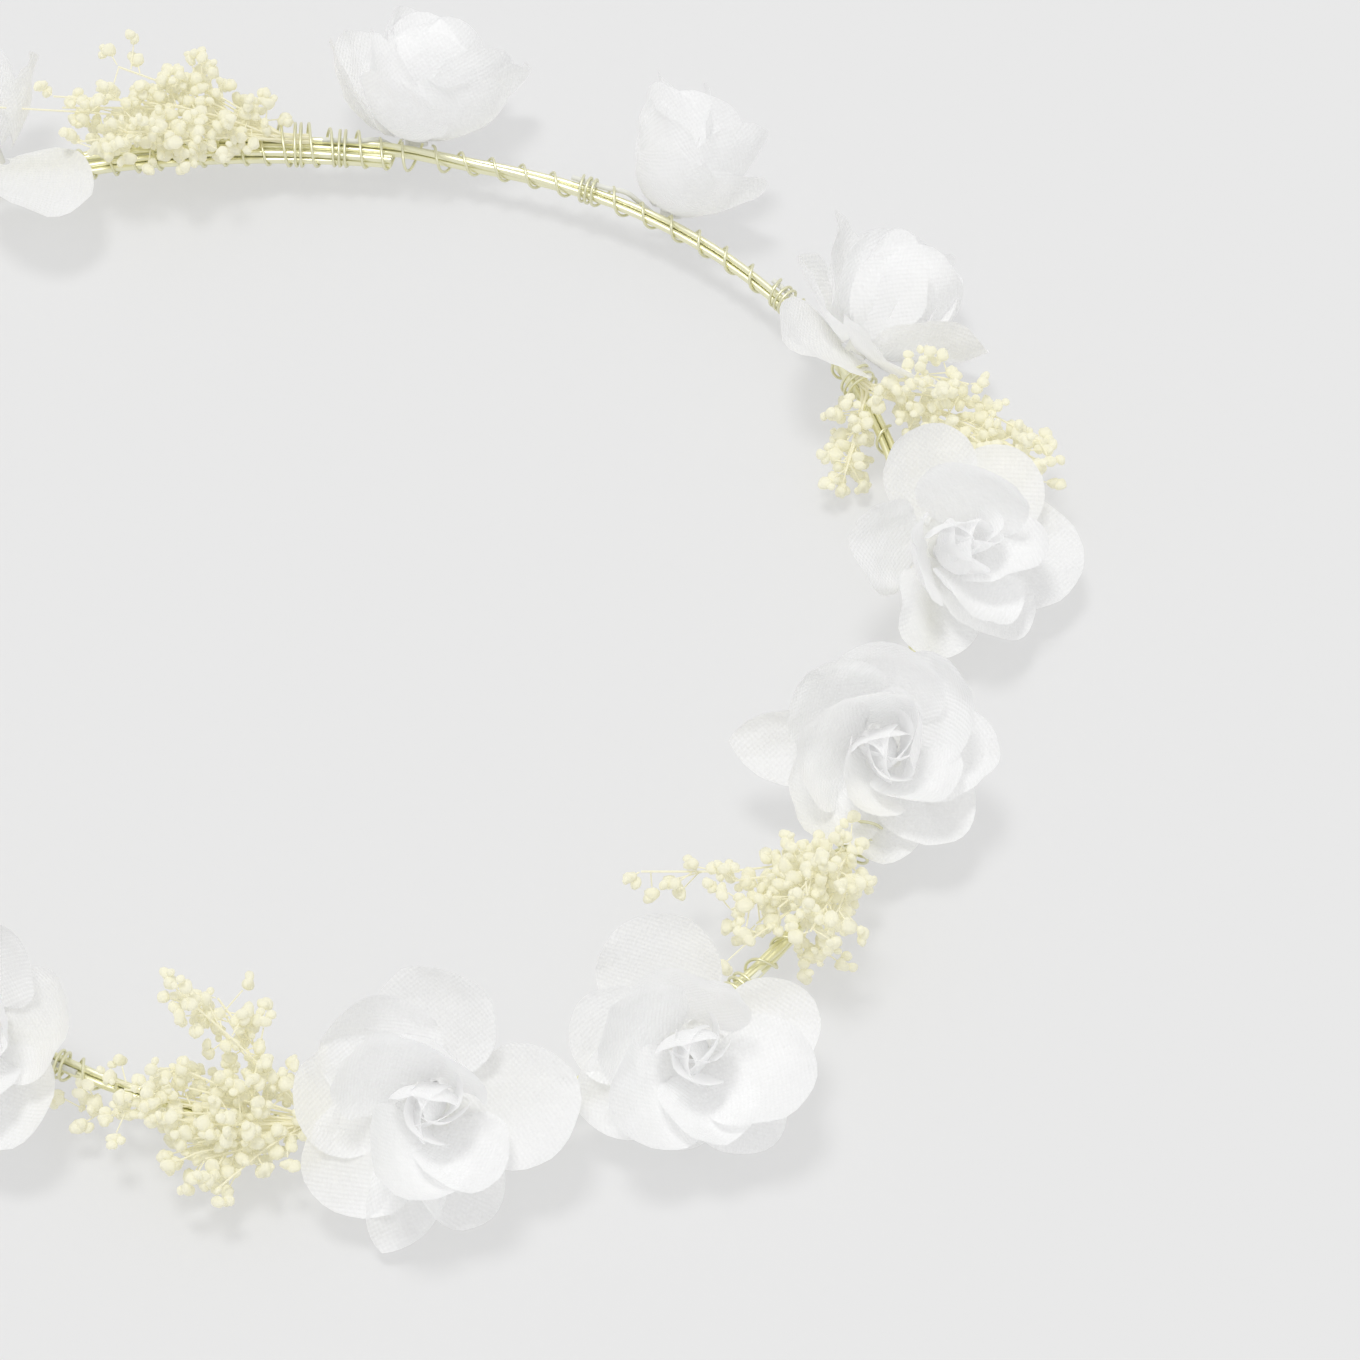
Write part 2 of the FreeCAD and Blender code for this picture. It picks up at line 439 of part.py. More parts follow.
def core_wire(number):
    """One ring wire: from the splice once round the ring and back beside its own start."""
    steps = 68
    start = math.radians(size("splice_end"))
    end = math.radians(size("splice_start")) - 2 * math.pi
    overlap = math.radians(size("splice_end") - size("splice_start"))
    points = []
    for step in range(steps + 1):
        turn = start + (end - start) * step / steps
        side = beside(start - turn, overlap) - beside(turn - end, overlap)
        twist = 2 * math.pi * (number / 3 + size("core_twists") * step / steps)
        outward = side * splice_side_step() + strand_circle() * math.cos(twist)
        points.append(ring_spot(turn, outward, strand_circle() * math.sin(twist)))
    return swept_wire("core_wire_%d" % (number + 1), points, "core_wire")


def beside(travelled, overlap):
    """1 while a wire lies in the splice, falling to 0 as it runs on into the ring."""
    return 1 - smooth_step((travelled - overlap) / SPLICE_RAMP)


# ---------------------------------------------------------------- what the binding goes round
def tie_weight(turn, station, held):
    """1 within the held length of ring about a station, falling to 0 beyond it."""
    away = abs(wrapped(turn - station)) * size("ring_radius")
    return 1 - smooth_step((away - held / 2) / size("tie_length"))


def tie_turn(flower):
    """Where a flower's stem is tied on, a little way round the ring from the flower."""
    return math.radians(flower[1]) + size("tie_lead") / size("ring_radius")


def splice_weight(turn):
    middle = math.radians(size("splice_start") + size("splice_end")) / 2
    half = math.radians(size("splice_end") - size("splice_start")) / 2
    return beside(abs(wrapped(turn - middle)), half)


def stem_offset():
    """Distance from the bundle's middle to a flower stem that lies on it."""
    return bundle_radius() + size("wire_gap") + size("stem_wire") / 2


def root_offset():
    """Distance from the bundle's middle to the tied end of a spray."""
    return bundle_radius() + size("wire_gap") + size("root_radius")


def packet(turn):
    """Centre offset and half-widths, outward and upward, of all that the binding holds here."""
    out_middle = up_middle = 0.0
    half_out = half_up = bundle_radius()
    half_out += splice_side_step() * splice_weight(turn)
    for flower in FLOWERS:
        weight = tie_weight(turn, tie_turn(flower), size("stem_tail"))
        extra = weight * (size("wire_gap") + size("stem_wire")) / 2
        out_middle += extra * math.cos(STEM_SIDE)
        up_middle += extra * math.sin(STEM_SIDE)
        half_out += extra
        half_up += extra
    for spray in SPRAYS:
        weight = tie_weight(turn, math.radians(spray[1]), size("stem_tail"))
        extra = weight * (size("wire_gap") / 2 + size("root_radius"))
        out_middle += extra * math.cos(ROOT_SIDE)
        up_middle += extra * math.sin(ROOT_SIDE)
        half_out += extra
        half_up += extra
    return out_middle, up_middle, half_out, half_up


def binding_pitch(turn):
    """Open turns along the ring, tight ones at each tie and over the splice's middle."""
    stations = [tie_turn(flower) for flower in FLOWERS] + [math.radians(spray[1]) for spray in SPRAYS]
    tight = max(tie_weight(turn, station, size("tie_length") / 2) for station in stations) ** 2
    pitch = size("binding_pitch") + (size("tie_pitch") - size("binding_pitch")) * tight
    return pitch + (min(pitch, size("splice_pitch")) - pitch) * splice_weight(turn)


def binding_wire(number):
    """One length of the thin wire, wound clockwise round the ring from one split to the next."""
    start = math.radians(BINDING_SPLITS[number])
    end = math.radians(BINDING_SPLITS[(number + 1) % len(BINDING_SPLITS)])
    if end >= start:
        end -= 2 * math.pi
    start -= SPLIT_GAP
    round_off = math.cos(math.pi / POINTS_PER_TURN)
    clearance = size("wire_gap") + size("binding_wire") / 2
    turn, winding = start, 0.0
    points = []
    while turn > end:
        out_middle, up_middle, half_out, half_up = packet(turn)
        outward = out_middle + (half_out + clearance) / round_off * math.cos(winding)
        upward = up_middle + (half_up + clearance) / round_off * math.sin(winding)
        points.append(ring_spot(turn, outward, upward))
        turn -= binding_pitch(turn) / POINTS_PER_TURN / size("ring_radius")
        winding += 2 * math.pi / POINTS_PER_TURN
    return swept_wire("binding_wire_%d" % (number + 1), points, "binding_wire")


# ---------------------------------------------------------------- flowers
def flower_axes(lean, heading):
    """Axis of a flower and the two directions across it that azimuths are counted from."""
    lean, heading = math.radians(lean), math.radians(heading)
    axis = Vector(math.sin(lean) * math.cos(heading), math.sin(lean) * math.sin(heading), math.cos(lean))
    across = Vector(1, 0, 0)
    across = (across - axis * across.dot(axis)).normalize()
    return axis, across, axis.cross(across)


def petal_sizes(die):
    return size(die + "_petal_length"), size(die + "_petal_width")


def flat_petal(die, along, across):
    """Point of the flat die: a round lobe on a tapered claw.  along is 0 to 1, across -1 to 1."""
    length, width = petal_sizes(die)
    lobe = width / 2
    middle = length - lobe
    widest = math.asin(min(lobe / middle, MOST_FAN))
    fan = across * widest
    edge = middle * math.cos(fan) + math.sqrt(max(lobe ** 2 - (middle * math.sin(fan)) ** 2, 0.0))
    edge = min(edge, length)
    if die == LONG_DIE:
        edge += TIP_SHARE * length * (1 - abs(across)) ** 2
    reach = edge * (CLAW + (1 - CLAW) * along)
    return reach * math.sin(fan), reach * math.cos(fan)


def bent_petal(petal, along, across, steps=8):
    """Point of the shaped petal: x across, y along its base direction, z towards the flower's middle."""
    _, die, azimuth, _, _, cup, curl, flip, wave = petal
    length, width = petal_sizes(die)
    x, y = flat_petal(die, along, across)
    roll = cup / (width / 2)
    depth = (1 - math.cos(roll * x)) / roll
    depth += wave * width * (y / length) ** 2 * math.sin(WAVES * across + math.radians(azimuth))
    side = math.sin(roll * x) / roll
    forward = height = 0.0
    for step in range(steps):
        share = (step + 0.5) * y / steps / length
        slope = curl * share + flip * share ** 3
        forward += math.cos(slope) * y / steps
        height += math.sin(slope) * y / steps
    slope = curl * y / length + flip * (y / length) ** 3
    return Vector(side, forward - depth * math.sin(slope), height + depth * math.cos(slope))


def petal_place(petal, axes):
    """Base point and the directions across, along and inwards of a petal on a bead at the origin."""
    axis, first, second = axes
    layer = petal[0]
    azimuth, opening, roll = (math.radians(angle) for angle in petal[2:5])
    outside = first * math.cos(azimuth) + second * math.sin(azimuth)
    along = axis * math.cos(opening) + outside * math.sin(opening)
    inwards = axis * math.sin(opening) - outside * math.cos(opening)
    level = LAYERS.index(layer)
    radius = size("hub_radius") + size("fabric") + size("layer_step") * (2 - level)
    base = outside * radius + axis * (size("hub_length") * LAYER_HEIGHTS[level])
    sideways = along.cross(inwards)
    turned = sideways * math.cos(roll) + inwards * math.sin(roll)
    return base, turned, along, turned.cross(along)


def petal_grid(petal, axes):
    """Rows of points of the petal's middle surface."""
    base, sideways, along, inwards = petal_place(petal, axes)
    rows = []
    for row in range(PETAL_ROWS):
        points = []
        for column in range(PETAL_COLUMNS):
            spot = bent_petal(petal, row / (PETAL_ROWS - 1), 2 * column / (PETAL_COLUMNS - 1) - 1)
            points.append(base + sideways * spot.x + along * spot.y + inwards * spot.z)
        rows.append(points)
    return rows


def grid_normals(rows):
    normals = []
    last_row, last_column = len(rows) - 1, len(rows[0]) - 1
    for i in range(last_row + 1):
        line = []
        for j in range(last_column + 1):
            down = rows[min(i + 1, last_row)][j] - rows[max(i - 1, 0)][j]
            over = rows[i][min(j + 1, last_column)] - rows[i][max(j - 1, 0)]
            line.append(over.cross(down).normalize())
        normals.append(line)
    return normals


def sheet_solid(rows, thickness):
    """Closed solid of the given thickness about a surface through rows of points."""
    normals = grid_normals(rows)
    surfaces = []
    for side in (-thickness / 2, thickness / 2):
        surface = Part.BSplineSurface()
        surface.interpolate([[point + normal * side for point, normal in zip(points, line)]
                             for points, line in zip(rows, normals)])
        surfaces.append(surface)
    below, above = surfaces
    faces = [below.toShape(), above.toShape()]
    first_u, last_u, first_v, last_v = below.bounds()
    for low, high in ((below.uIso(first_u), above.uIso(first_u)), (below.uIso(last_u), above.uIso(last_u)),
                      (below.vIso(first_v), above.vIso(first_v)), (below.vIso(last_v), above.vIso(last_v))):
        faces.append(Part.makeRuledSurface(low.toShape(), high.toShape()))
    shell = Part.Shell(faces)
    shell.sewShape()
    solid = Part.Solid(shell)
    if solid.Volume < 0:
        solid.reverse()
    return solid


def hub_distance():
    """From the ring's centre line to a bead's middle."""
    return bundle_radius() + 2 * size("wire_gap") + size("binding_wire") + size("hub_lift") + size("hub_radius")


def hub_centre(flower):
    """A bead sits clear of the ring, and high enough for its lowest petal to stay off the table."""
    _, station, side, lean, heading, petals = flower
    axes = flower_axes(lean, heading)
    lowest = min(point.z for petal in petals for row in petal_grid(petal, axes) for point in row)
    side = math.radians(side)
    spot = ring_spot(math.radians(station), hub_distance() * math.cos(side), hub_distance() * math.sin(side))
    return Vector(spot.x, spot.y, max(spot.z, size("fabric") / 2 - lowest))


def flower_layers(flower, centre):
    name, _, _, lean, heading, petals = flower
    axes = flower_axes(lean, heading)
    layers = []
    for layer in LAYERS:
        solids = []
        for petal in petals:
            if petal[0] == layer:
                solid = sheet_solid(petal_grid(petal, axes), size("fabric"))
                solid.translate(centre)
                solids.append(solid)
        layers.append(computed("%s_%s_petals" % (name, layer), solids))
    return layers


def circle_sketch(body, name, diameter_rule):
    """A sketch on the body's XY plane with one circle whose diameter follows the sheet."""
    sketch = body.newObject("Sketcher::SketchObject", name)
    planes = [item for item in body.Origin.OriginFeatures if item.Role == "XY_Plane"]
    sketch.AttachmentSupport = [(planes[0], "")]
    sketch.MapMode = "FlatFace"
    sketch.addGeometry(Part.Circle(ORIGIN, UP, 1.0), False)
    sketch.addConstraint(Sketcher.Constraint("Coincident", 0, 3, -1, 1))
    sketch.addConstraint(Sketcher.Constraint("Diameter", 0, 2.0))
    sketch.setExpression("Constraints[1]", diameter_rule)
    return sketch


def hub_pattern():
    """One bead: a padded disc with a rounded nose and a blind hole for the stem wire."""
    body = doc.addObject("PartDesign::Body", "hub_pattern")
    pad = body.newObject("PartDesign::Pad", "hub_pad")
    pad.Profile = circle_sketch(body, "hub_outline", "2 * sizes.hub_radius")
    pad.setExpression("Length", "sizes.hub_length")
    doc.recompute()
    nose = body.newObject("PartDesign::Fillet", "hub_nose")
    rims = [index for index, edge in enumerate(pad.Shape.Edges, start=1)
            if edge.BoundBox.ZMin > size("hub_length") / 2 and edge.BoundBox.ZLength < size("wire_gap")]
    nose.Base = (pad, ["Edge%d" % index for index in rims])
    nose.setExpression("Radius", "%s * sizes.hub_radius" % HUB_FILLET)
    doc.recompute()
    socket = body.newObject("PartDesign::Pocket", "hub_socket")
    socket.Profile = circle_sketch(body, "socket_outline", "sizes.stem_wire + sizes.wire_gap")
    socket.Reversed = True
    socket.setExpression("Length", "sizes.hub_socket")
    body.Tip = socket
    doc.recompute()
    return body


def hub_solid(pattern, flower, centre):
    axis = flower_axes(flower[3], flower[4])[0]
    solid = pattern.Shape.Solids[0].copy()
    foot = centre - axis * (size("hub_length") / 2)
    solid.Placement = FreeCAD.Placement(foot, FreeCAD.Rotation(UP, axis))
    return solid


def backing_solid(flower, centre):
    """The round of cloth behind a flower's petals, with a hole for its bead."""
    axis = flower_axes(flower[3], flower[4])[0]
    foot = centre + axis * (size("hub_length") * LAYER_HEIGHTS[0] - size("backing_drop"))
    disc = Part.makeCylinder(size("backing_radius"), size("fabric"), foot, axis)
    return disc.cut(Part.makeCylinder(size("hub_radius") + size("wire_gap") / 2, size("fabric"), foot, axis))


def stem_solid(flower, centre):
    """A flower's stem: along the ring under its tie, then up into the bead's socket."""
    axis = flower_axes(flower[3], flower[4])[0]
    outward, upward = stem_offset() * math.cos(STEM_SIDE), stem_offset() * math.sin(STEM_SIDE)
    tie = tie_turn(flower)
    half_tail = size("stem_tail") / 2 / size("ring_radius")
    leaving = tie - half_tail - size("tie_lead") / 4 / size("ring_radius")
    foot = centre - axis * (size("hub_length") / 2)
    points = [ring_spot(tie + half_tail, outward, upward), ring_spot(tie, outward, upward),
              ring_spot(tie - half_tail, outward, upward),
              ring_spot(leaving, outward + size("stem_wire"), upward),
              foot - axis * (size("hub_length") / 3), foot + axis * (size("hub_socket") - SOCKET_END)]
    return tube(points, size("stem_wire"))


# ---------------------------------------------------------------- sprays of baby's breath
def stalk_points(root, direction, tuft, draw):
    """Root, leaving point, middle and tip of one stalk."""
    reach, outward, upward, spread, _ = tuft
    radius = size("root_radius") - size("sprig_wire") / 2
    angle, share = draw.uniform(0, 2 * math.pi), math.sqrt(draw.random())
    side_out = radius * share * math.cos(angle) + root_offset() * math.cos(ROOT_SIDE)
    side_up = radius * share * math.sin(angle) + root_offset() * math.sin(ROOT_SIDE)
    half_tie = size("tie_length") / size("ring_radius") * 0.75
    travel = math.radians(reach) * draw.uniform(0.72, 1.06)
    out_tip = outward + draw.gauss(0, spread * 0.6)
    up_tip = max(upward + draw.gauss(0, spread * 0.6), size("bud_diameter") - size("ring_lift"))
    bow = draw.uniform(0.35, 0.6)
    return [ring_spot(root - direction * half_tie, side_out, side_up),
            ring_spot(root + direction * half_tie, side_out, side_up),
            ring_spot(root + direction * travel * 0.55, side_out + (out_tip - side_out) * bow,
                      side_up + (up_tip - side_up) * bow + 1.0),
            ring_spot(root + direction * travel, out_tip, up_tip)]


def bud_pattern():
    """One dried bud: a crumpled ball of twenty flat facets about the origin."""
    golden = (1 + math.sqrt(5)) / 2
    scale = size("bud_diameter") / 2 / math.hypot(1, golden)
    corners = [Vector(*spot) * scale for spot in (
        (-1, golden, 0), (1, golden, 0), (-1, -golden, 0), (1, -golden, 0),
        (0, -1, golden), (0, 1, golden), (0, -1, -golden), (0, 1, -golden),
        (golden, 0, -1), (golden, 0, 1), (-golden, 0, -1), (-golden, 0, 1))]
    facets = []
    for first, second, third in ((0, 11, 5), (0, 5, 1), (0, 1, 7), (0, 7, 10), (0, 10, 11), (1, 5, 9), (5, 11, 4),
                                 (11, 10, 2), (10, 7, 6), (7, 1, 8), (3, 9, 4), (3, 4, 2), (3, 2, 6), (3, 6, 8),
                                 (3, 8, 9), (4, 9, 5), (2, 4, 11), (6, 2, 10), (8, 6, 7), (9, 8, 1)):
        outline = [corners[first], corners[second], corners[third], corners[first]]
        facets.append(Part.Face(Part.makePolygon(outline)))
    shell = Part.Shell(facets)
    shell.sewShape()
    return Part.Solid(shell)


def clear_of(spot, others, distance):
    return all((spot - other).Length > distance for other in others)


def spray_solids(spray, petals, pattern):
    """Stalks, their side branches and the buds at their tips."""
    _, station, direction, seed, tufts = spray
    draw = random.Random(seed)
    root = math.radians(station)
    stalks, buds, centres = [], [], []
    bud_radius = size("bud_diameter") / 2
    for tuft in tufts:
        for _ in range(tuft[4]):
            points = stalk_points(root, direction, tuft, draw)
            stalks.append(tube(points, size("sprig_wire")))
            foot, middle, tip = points[1:]
            for number in range(BUDS_PER_STALK):
                share = 1.0 if number == 0 else draw.uniform(-0.55, 1.0)
                joint = middle + (tip - middle) * share if share > 0 else middle + (middle - foot) * share
                away = Vector(draw.gauss(0, 1), draw.gauss(0, 1), draw.gauss(0, 0.8))
                away = (away.normalize() + (tip - middle).normalize() * 0.7).normalize()
                branch = draw.uniform(1.0, 4.2)
                centre = joint + away * (branch + bud_radius)
                centre.z = max(centre.z, bud_radius + size("wire_gap") * 4)
                ring = ring_point(math.atan2(centre.y, centre.x))
                if (centre - ring).Length < stem_offset() + bud_radius + size("binding_wire"):
                    continue
                if not clear_of(centre, centres, 2 * bud_radius) or petals.near(centre, bud_radius):
                    continue
                centres.append(centre)
                bud = pattern.copy()
                spin = FreeCAD.Rotation(draw.uniform(0, 360), draw.uniform(0, 360), draw.uniform(0, 360))
                bud.Placement = FreeCAD.Placement(centre, spin)
                buds.append(bud)
                away = (centre - joint).normalize()
                start = joint + away * size("sprig_wire")
                length = (centre - start).Length - bud_radius - size("wire_gap") / 2
                if length > size("sprig_wire"):
                    stalks.append(Part.makeCylinder(size("sprig_wire") * 0.35, length, start, away))
    return stalks, buds


class PetalCloud:
    """Points of all petals in a coarse grid, to ask whether a bud would touch one."""

    def __init__(self, pitch):
        self.pitch = pitch
        self.cells = {}

    def key(self, spot):
        return tuple(int(math.floor(value / self.pitch)) for value in spot)

    def add(self, spot):
        self.cells.setdefault(self.key(spot), []).append(spot)

    def near(self, spot, radius):
        limit = radius + 0.45 * self.pitch
        x, y, z = self.key(spot)
        for i in (x - 1, x, x + 1):
            for j in (y - 1, y, y + 1):
                for k in (z - 1, z, z + 1):
                    if any((spot - other).Length < limit for other in self.cells.get((i, j, k), ())):
                        return True
        return False


# ---------------------------------------------------------------- the crown
def build():
    parts = [core_wire(number) for number in range(3)]
    parts += [binding_wire(number) for number in range(len(BINDING_SPLITS))]
    pattern = hub_pattern()
    bud = bud_pattern()
    cloud = PetalCloud(3.0)
    hubs, stems, backings = [], [], []
    for flower in FLOWERS:
        centre = hub_centre(flower)
        print(flower[0], "bead height", round(centre.z, 1))
        axes = flower_axes(flower[3], flower[4])
        for petal in flower[5]:
            for row in petal_grid(petal, axes):
                for point in row:
                    cloud.add(point + centre)
        hubs.append(hub_solid(pattern, flower, centre))
        stems.append(stem_solid(flower, centre))
        if flower[2] >= BACKED_SIDE:
            backings.append(backing_solid(flower, centre))
        parts += flower_layers(flower, centre)
    parts.append(computed("flower_hubs", hubs))
    parts.append(computed("flower_stems", stems))
    parts.append(computed("flower_backings", backings))
    for spray in SPRAYS:
        stalks, buds = spray_solids(spray, cloud, bud)
        print(spray[0], len(stalks), "stalks and branches,", len(buds), "buds")
        parts.append(computed(spray[0] + "_stems", stalks))
        parts.append(computed(spray[0] + "_buds", buds))
    doc.recompute()
    return parts


def settle(parts):
    """Move every sub-part so that the crown stands on z = 0, centred on x = y = 0."""
    box = FreeCAD.BoundBox()
    for part in parts:
        if "wire" not in part.Label:
            for solid in part.Shape.Solids:
                box.add(solid.optimalBoundingBox(False))
    shift = Vector(-(box.XMin + box.XMax) / 2, -(box.YMin + box.YMax) / 2, -box.ZMin)
    for part in parts:
        part.Placement = FreeCAD.Placement(shift, FreeCAD.Rotation())
    doc.recompute()
    print("shift", shift, "size", box.XLength, box.YLength, box.ZLength)


def check(parts):
    for item in doc.Objects:
        if "Invalid" in item.State or "Error" in item.State:
            raise RuntimeError("%s failed: %s" % (item.Label, item.State))
    for part in parts:
        if part.Shape.isNull() or not part.Shape.isValid():
            raise RuntimeError("%s has no valid shape" % part.Label)
        if any(solid.Volume <= 0 for solid in part.Shape.Solids):
            raise RuntimeError("%s has an inside-out solid" % part.Label)


def write(parts):
    os.makedirs("parts", exist_ok=True)
    for part in parts:
        part.Shape.exportStep("parts/%s.step" % part.Label)
        print("%-28s %4d solids %10.2f mm3" % (part.Label, len(part.Shape.Solids), part.Shape.Volume))


crown = build()
settle(crown)
check(crown)
write(crown)
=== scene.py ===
"""Flower crown: white cloth flowers and dried baby's breath on a gilt wire ring."""
import json
import math
import random

import bmesh
import bpy
from bpy.props import FloatProperty, FloatVectorProperty, IntProperty, PointerProperty
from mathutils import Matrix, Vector, noise


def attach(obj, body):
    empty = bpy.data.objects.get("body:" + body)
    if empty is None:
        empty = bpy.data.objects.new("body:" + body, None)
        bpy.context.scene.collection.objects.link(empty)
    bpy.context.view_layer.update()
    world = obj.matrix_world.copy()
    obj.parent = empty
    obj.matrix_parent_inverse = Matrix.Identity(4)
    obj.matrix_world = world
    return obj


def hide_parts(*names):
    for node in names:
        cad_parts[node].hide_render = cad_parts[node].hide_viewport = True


bl_info = {
    "name": "Flower crown",
    "version": (1, 0, 0),
    "blender": (4, 5, 0),
    "location": "View3D > Sidebar > Crown",
    "description": "Dresses a wire ring with cloth flowers and sprays of dried baby's breath",
    "category": "Add Mesh",
}

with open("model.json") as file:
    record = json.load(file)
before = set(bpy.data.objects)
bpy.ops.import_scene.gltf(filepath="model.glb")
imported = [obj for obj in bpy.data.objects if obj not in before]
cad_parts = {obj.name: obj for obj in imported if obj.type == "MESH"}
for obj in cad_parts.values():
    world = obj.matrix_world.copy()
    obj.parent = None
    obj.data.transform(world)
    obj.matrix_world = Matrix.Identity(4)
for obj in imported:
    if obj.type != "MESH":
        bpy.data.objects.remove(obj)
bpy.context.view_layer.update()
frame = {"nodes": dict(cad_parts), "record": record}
RING_CENTRE = Vector(frame["record"]["mounts"][0]["pos_m"])
MM = 0.001
UP = Vector((0, 0, 1))

# ---------------------------------------------------------------- sizes shared with the frame, mm
RING_RADIUS, RING_OVAL, RING_CORNER = 91.0, 5.9, 3.2
OVAL_TURN, CORNER_TURN = math.radians(-21.7), math.radians(42.0)
HUB_RADIUS, HUB_LENGTH, HUB_DISTANCE = 1.8, 6.0, 6.2390
FABRIC, LAYER_STEP = 0.3, 0.45
DIES = {"large": (18.5, 18.0), "medium": (16.0, 15.0), "small": (12.0, 11.5), "long": (15.5, 12.5)}
LAYERS = ("outer", "middle", "inner")
LAYER_HEIGHTS = (-0.30, -0.05, 0.20)
LONG_DIE = "long"
CLAW, MOST_FAN, TIP_SHARE, WAVES = 0.10, 0.95, 0.25, 4.2
BACKING_RADIUS, BACKING_DROP, BACKED_SIDE = 5.5, 0.6, 40.0

# ---------------------------------------------------------------- sizes of the scene's own detail, mm
CREASE_SHARES = (1.0, 0.9, 0.5)         # of the crease's depth, by layer
RAGGED_SHARE = 0.008                    # of the petal's size, at its lip
BACKING_CELLS, BACKING_DISH, BACKING_RUMPLE = 12, 0.3, 0.2
FLORET_LUMPS, FLORET_DENT = 0.4, 0.55   # shares of the floret's radius
FLORET_SEED = 19
WELD = 0.001                            # corners this close are one

# ---------------------------------------------------------------- finishes shared by pieces
# PLANT_PAINTED_GLOW is painted light: emission that brightens the dried buds and stalks, which give off no
# light.
PLANT_PAINTED_GLOW, PLANT_SHEERNESS = 0.10, 0.4
STEM_PAPER, BEAD_WHITE = (0.82, 0.82, 0.76), (0.85, 0.85, 0.82)

# ---------------------------------------------------------------- light and camera
SKY_STRENGTH, SUN_STRENGTH, SUN_WIDTH = 0.705, 1.0, math.radians(14)
SUN_FROM = Vector((-0.12, 0.05, 1.0))
FLOOR_HALF = 4.0
SENSOR = 36.0                           # mm
AIM = Vector((57.86, -15.30, 0))        # mm from the ring's middle

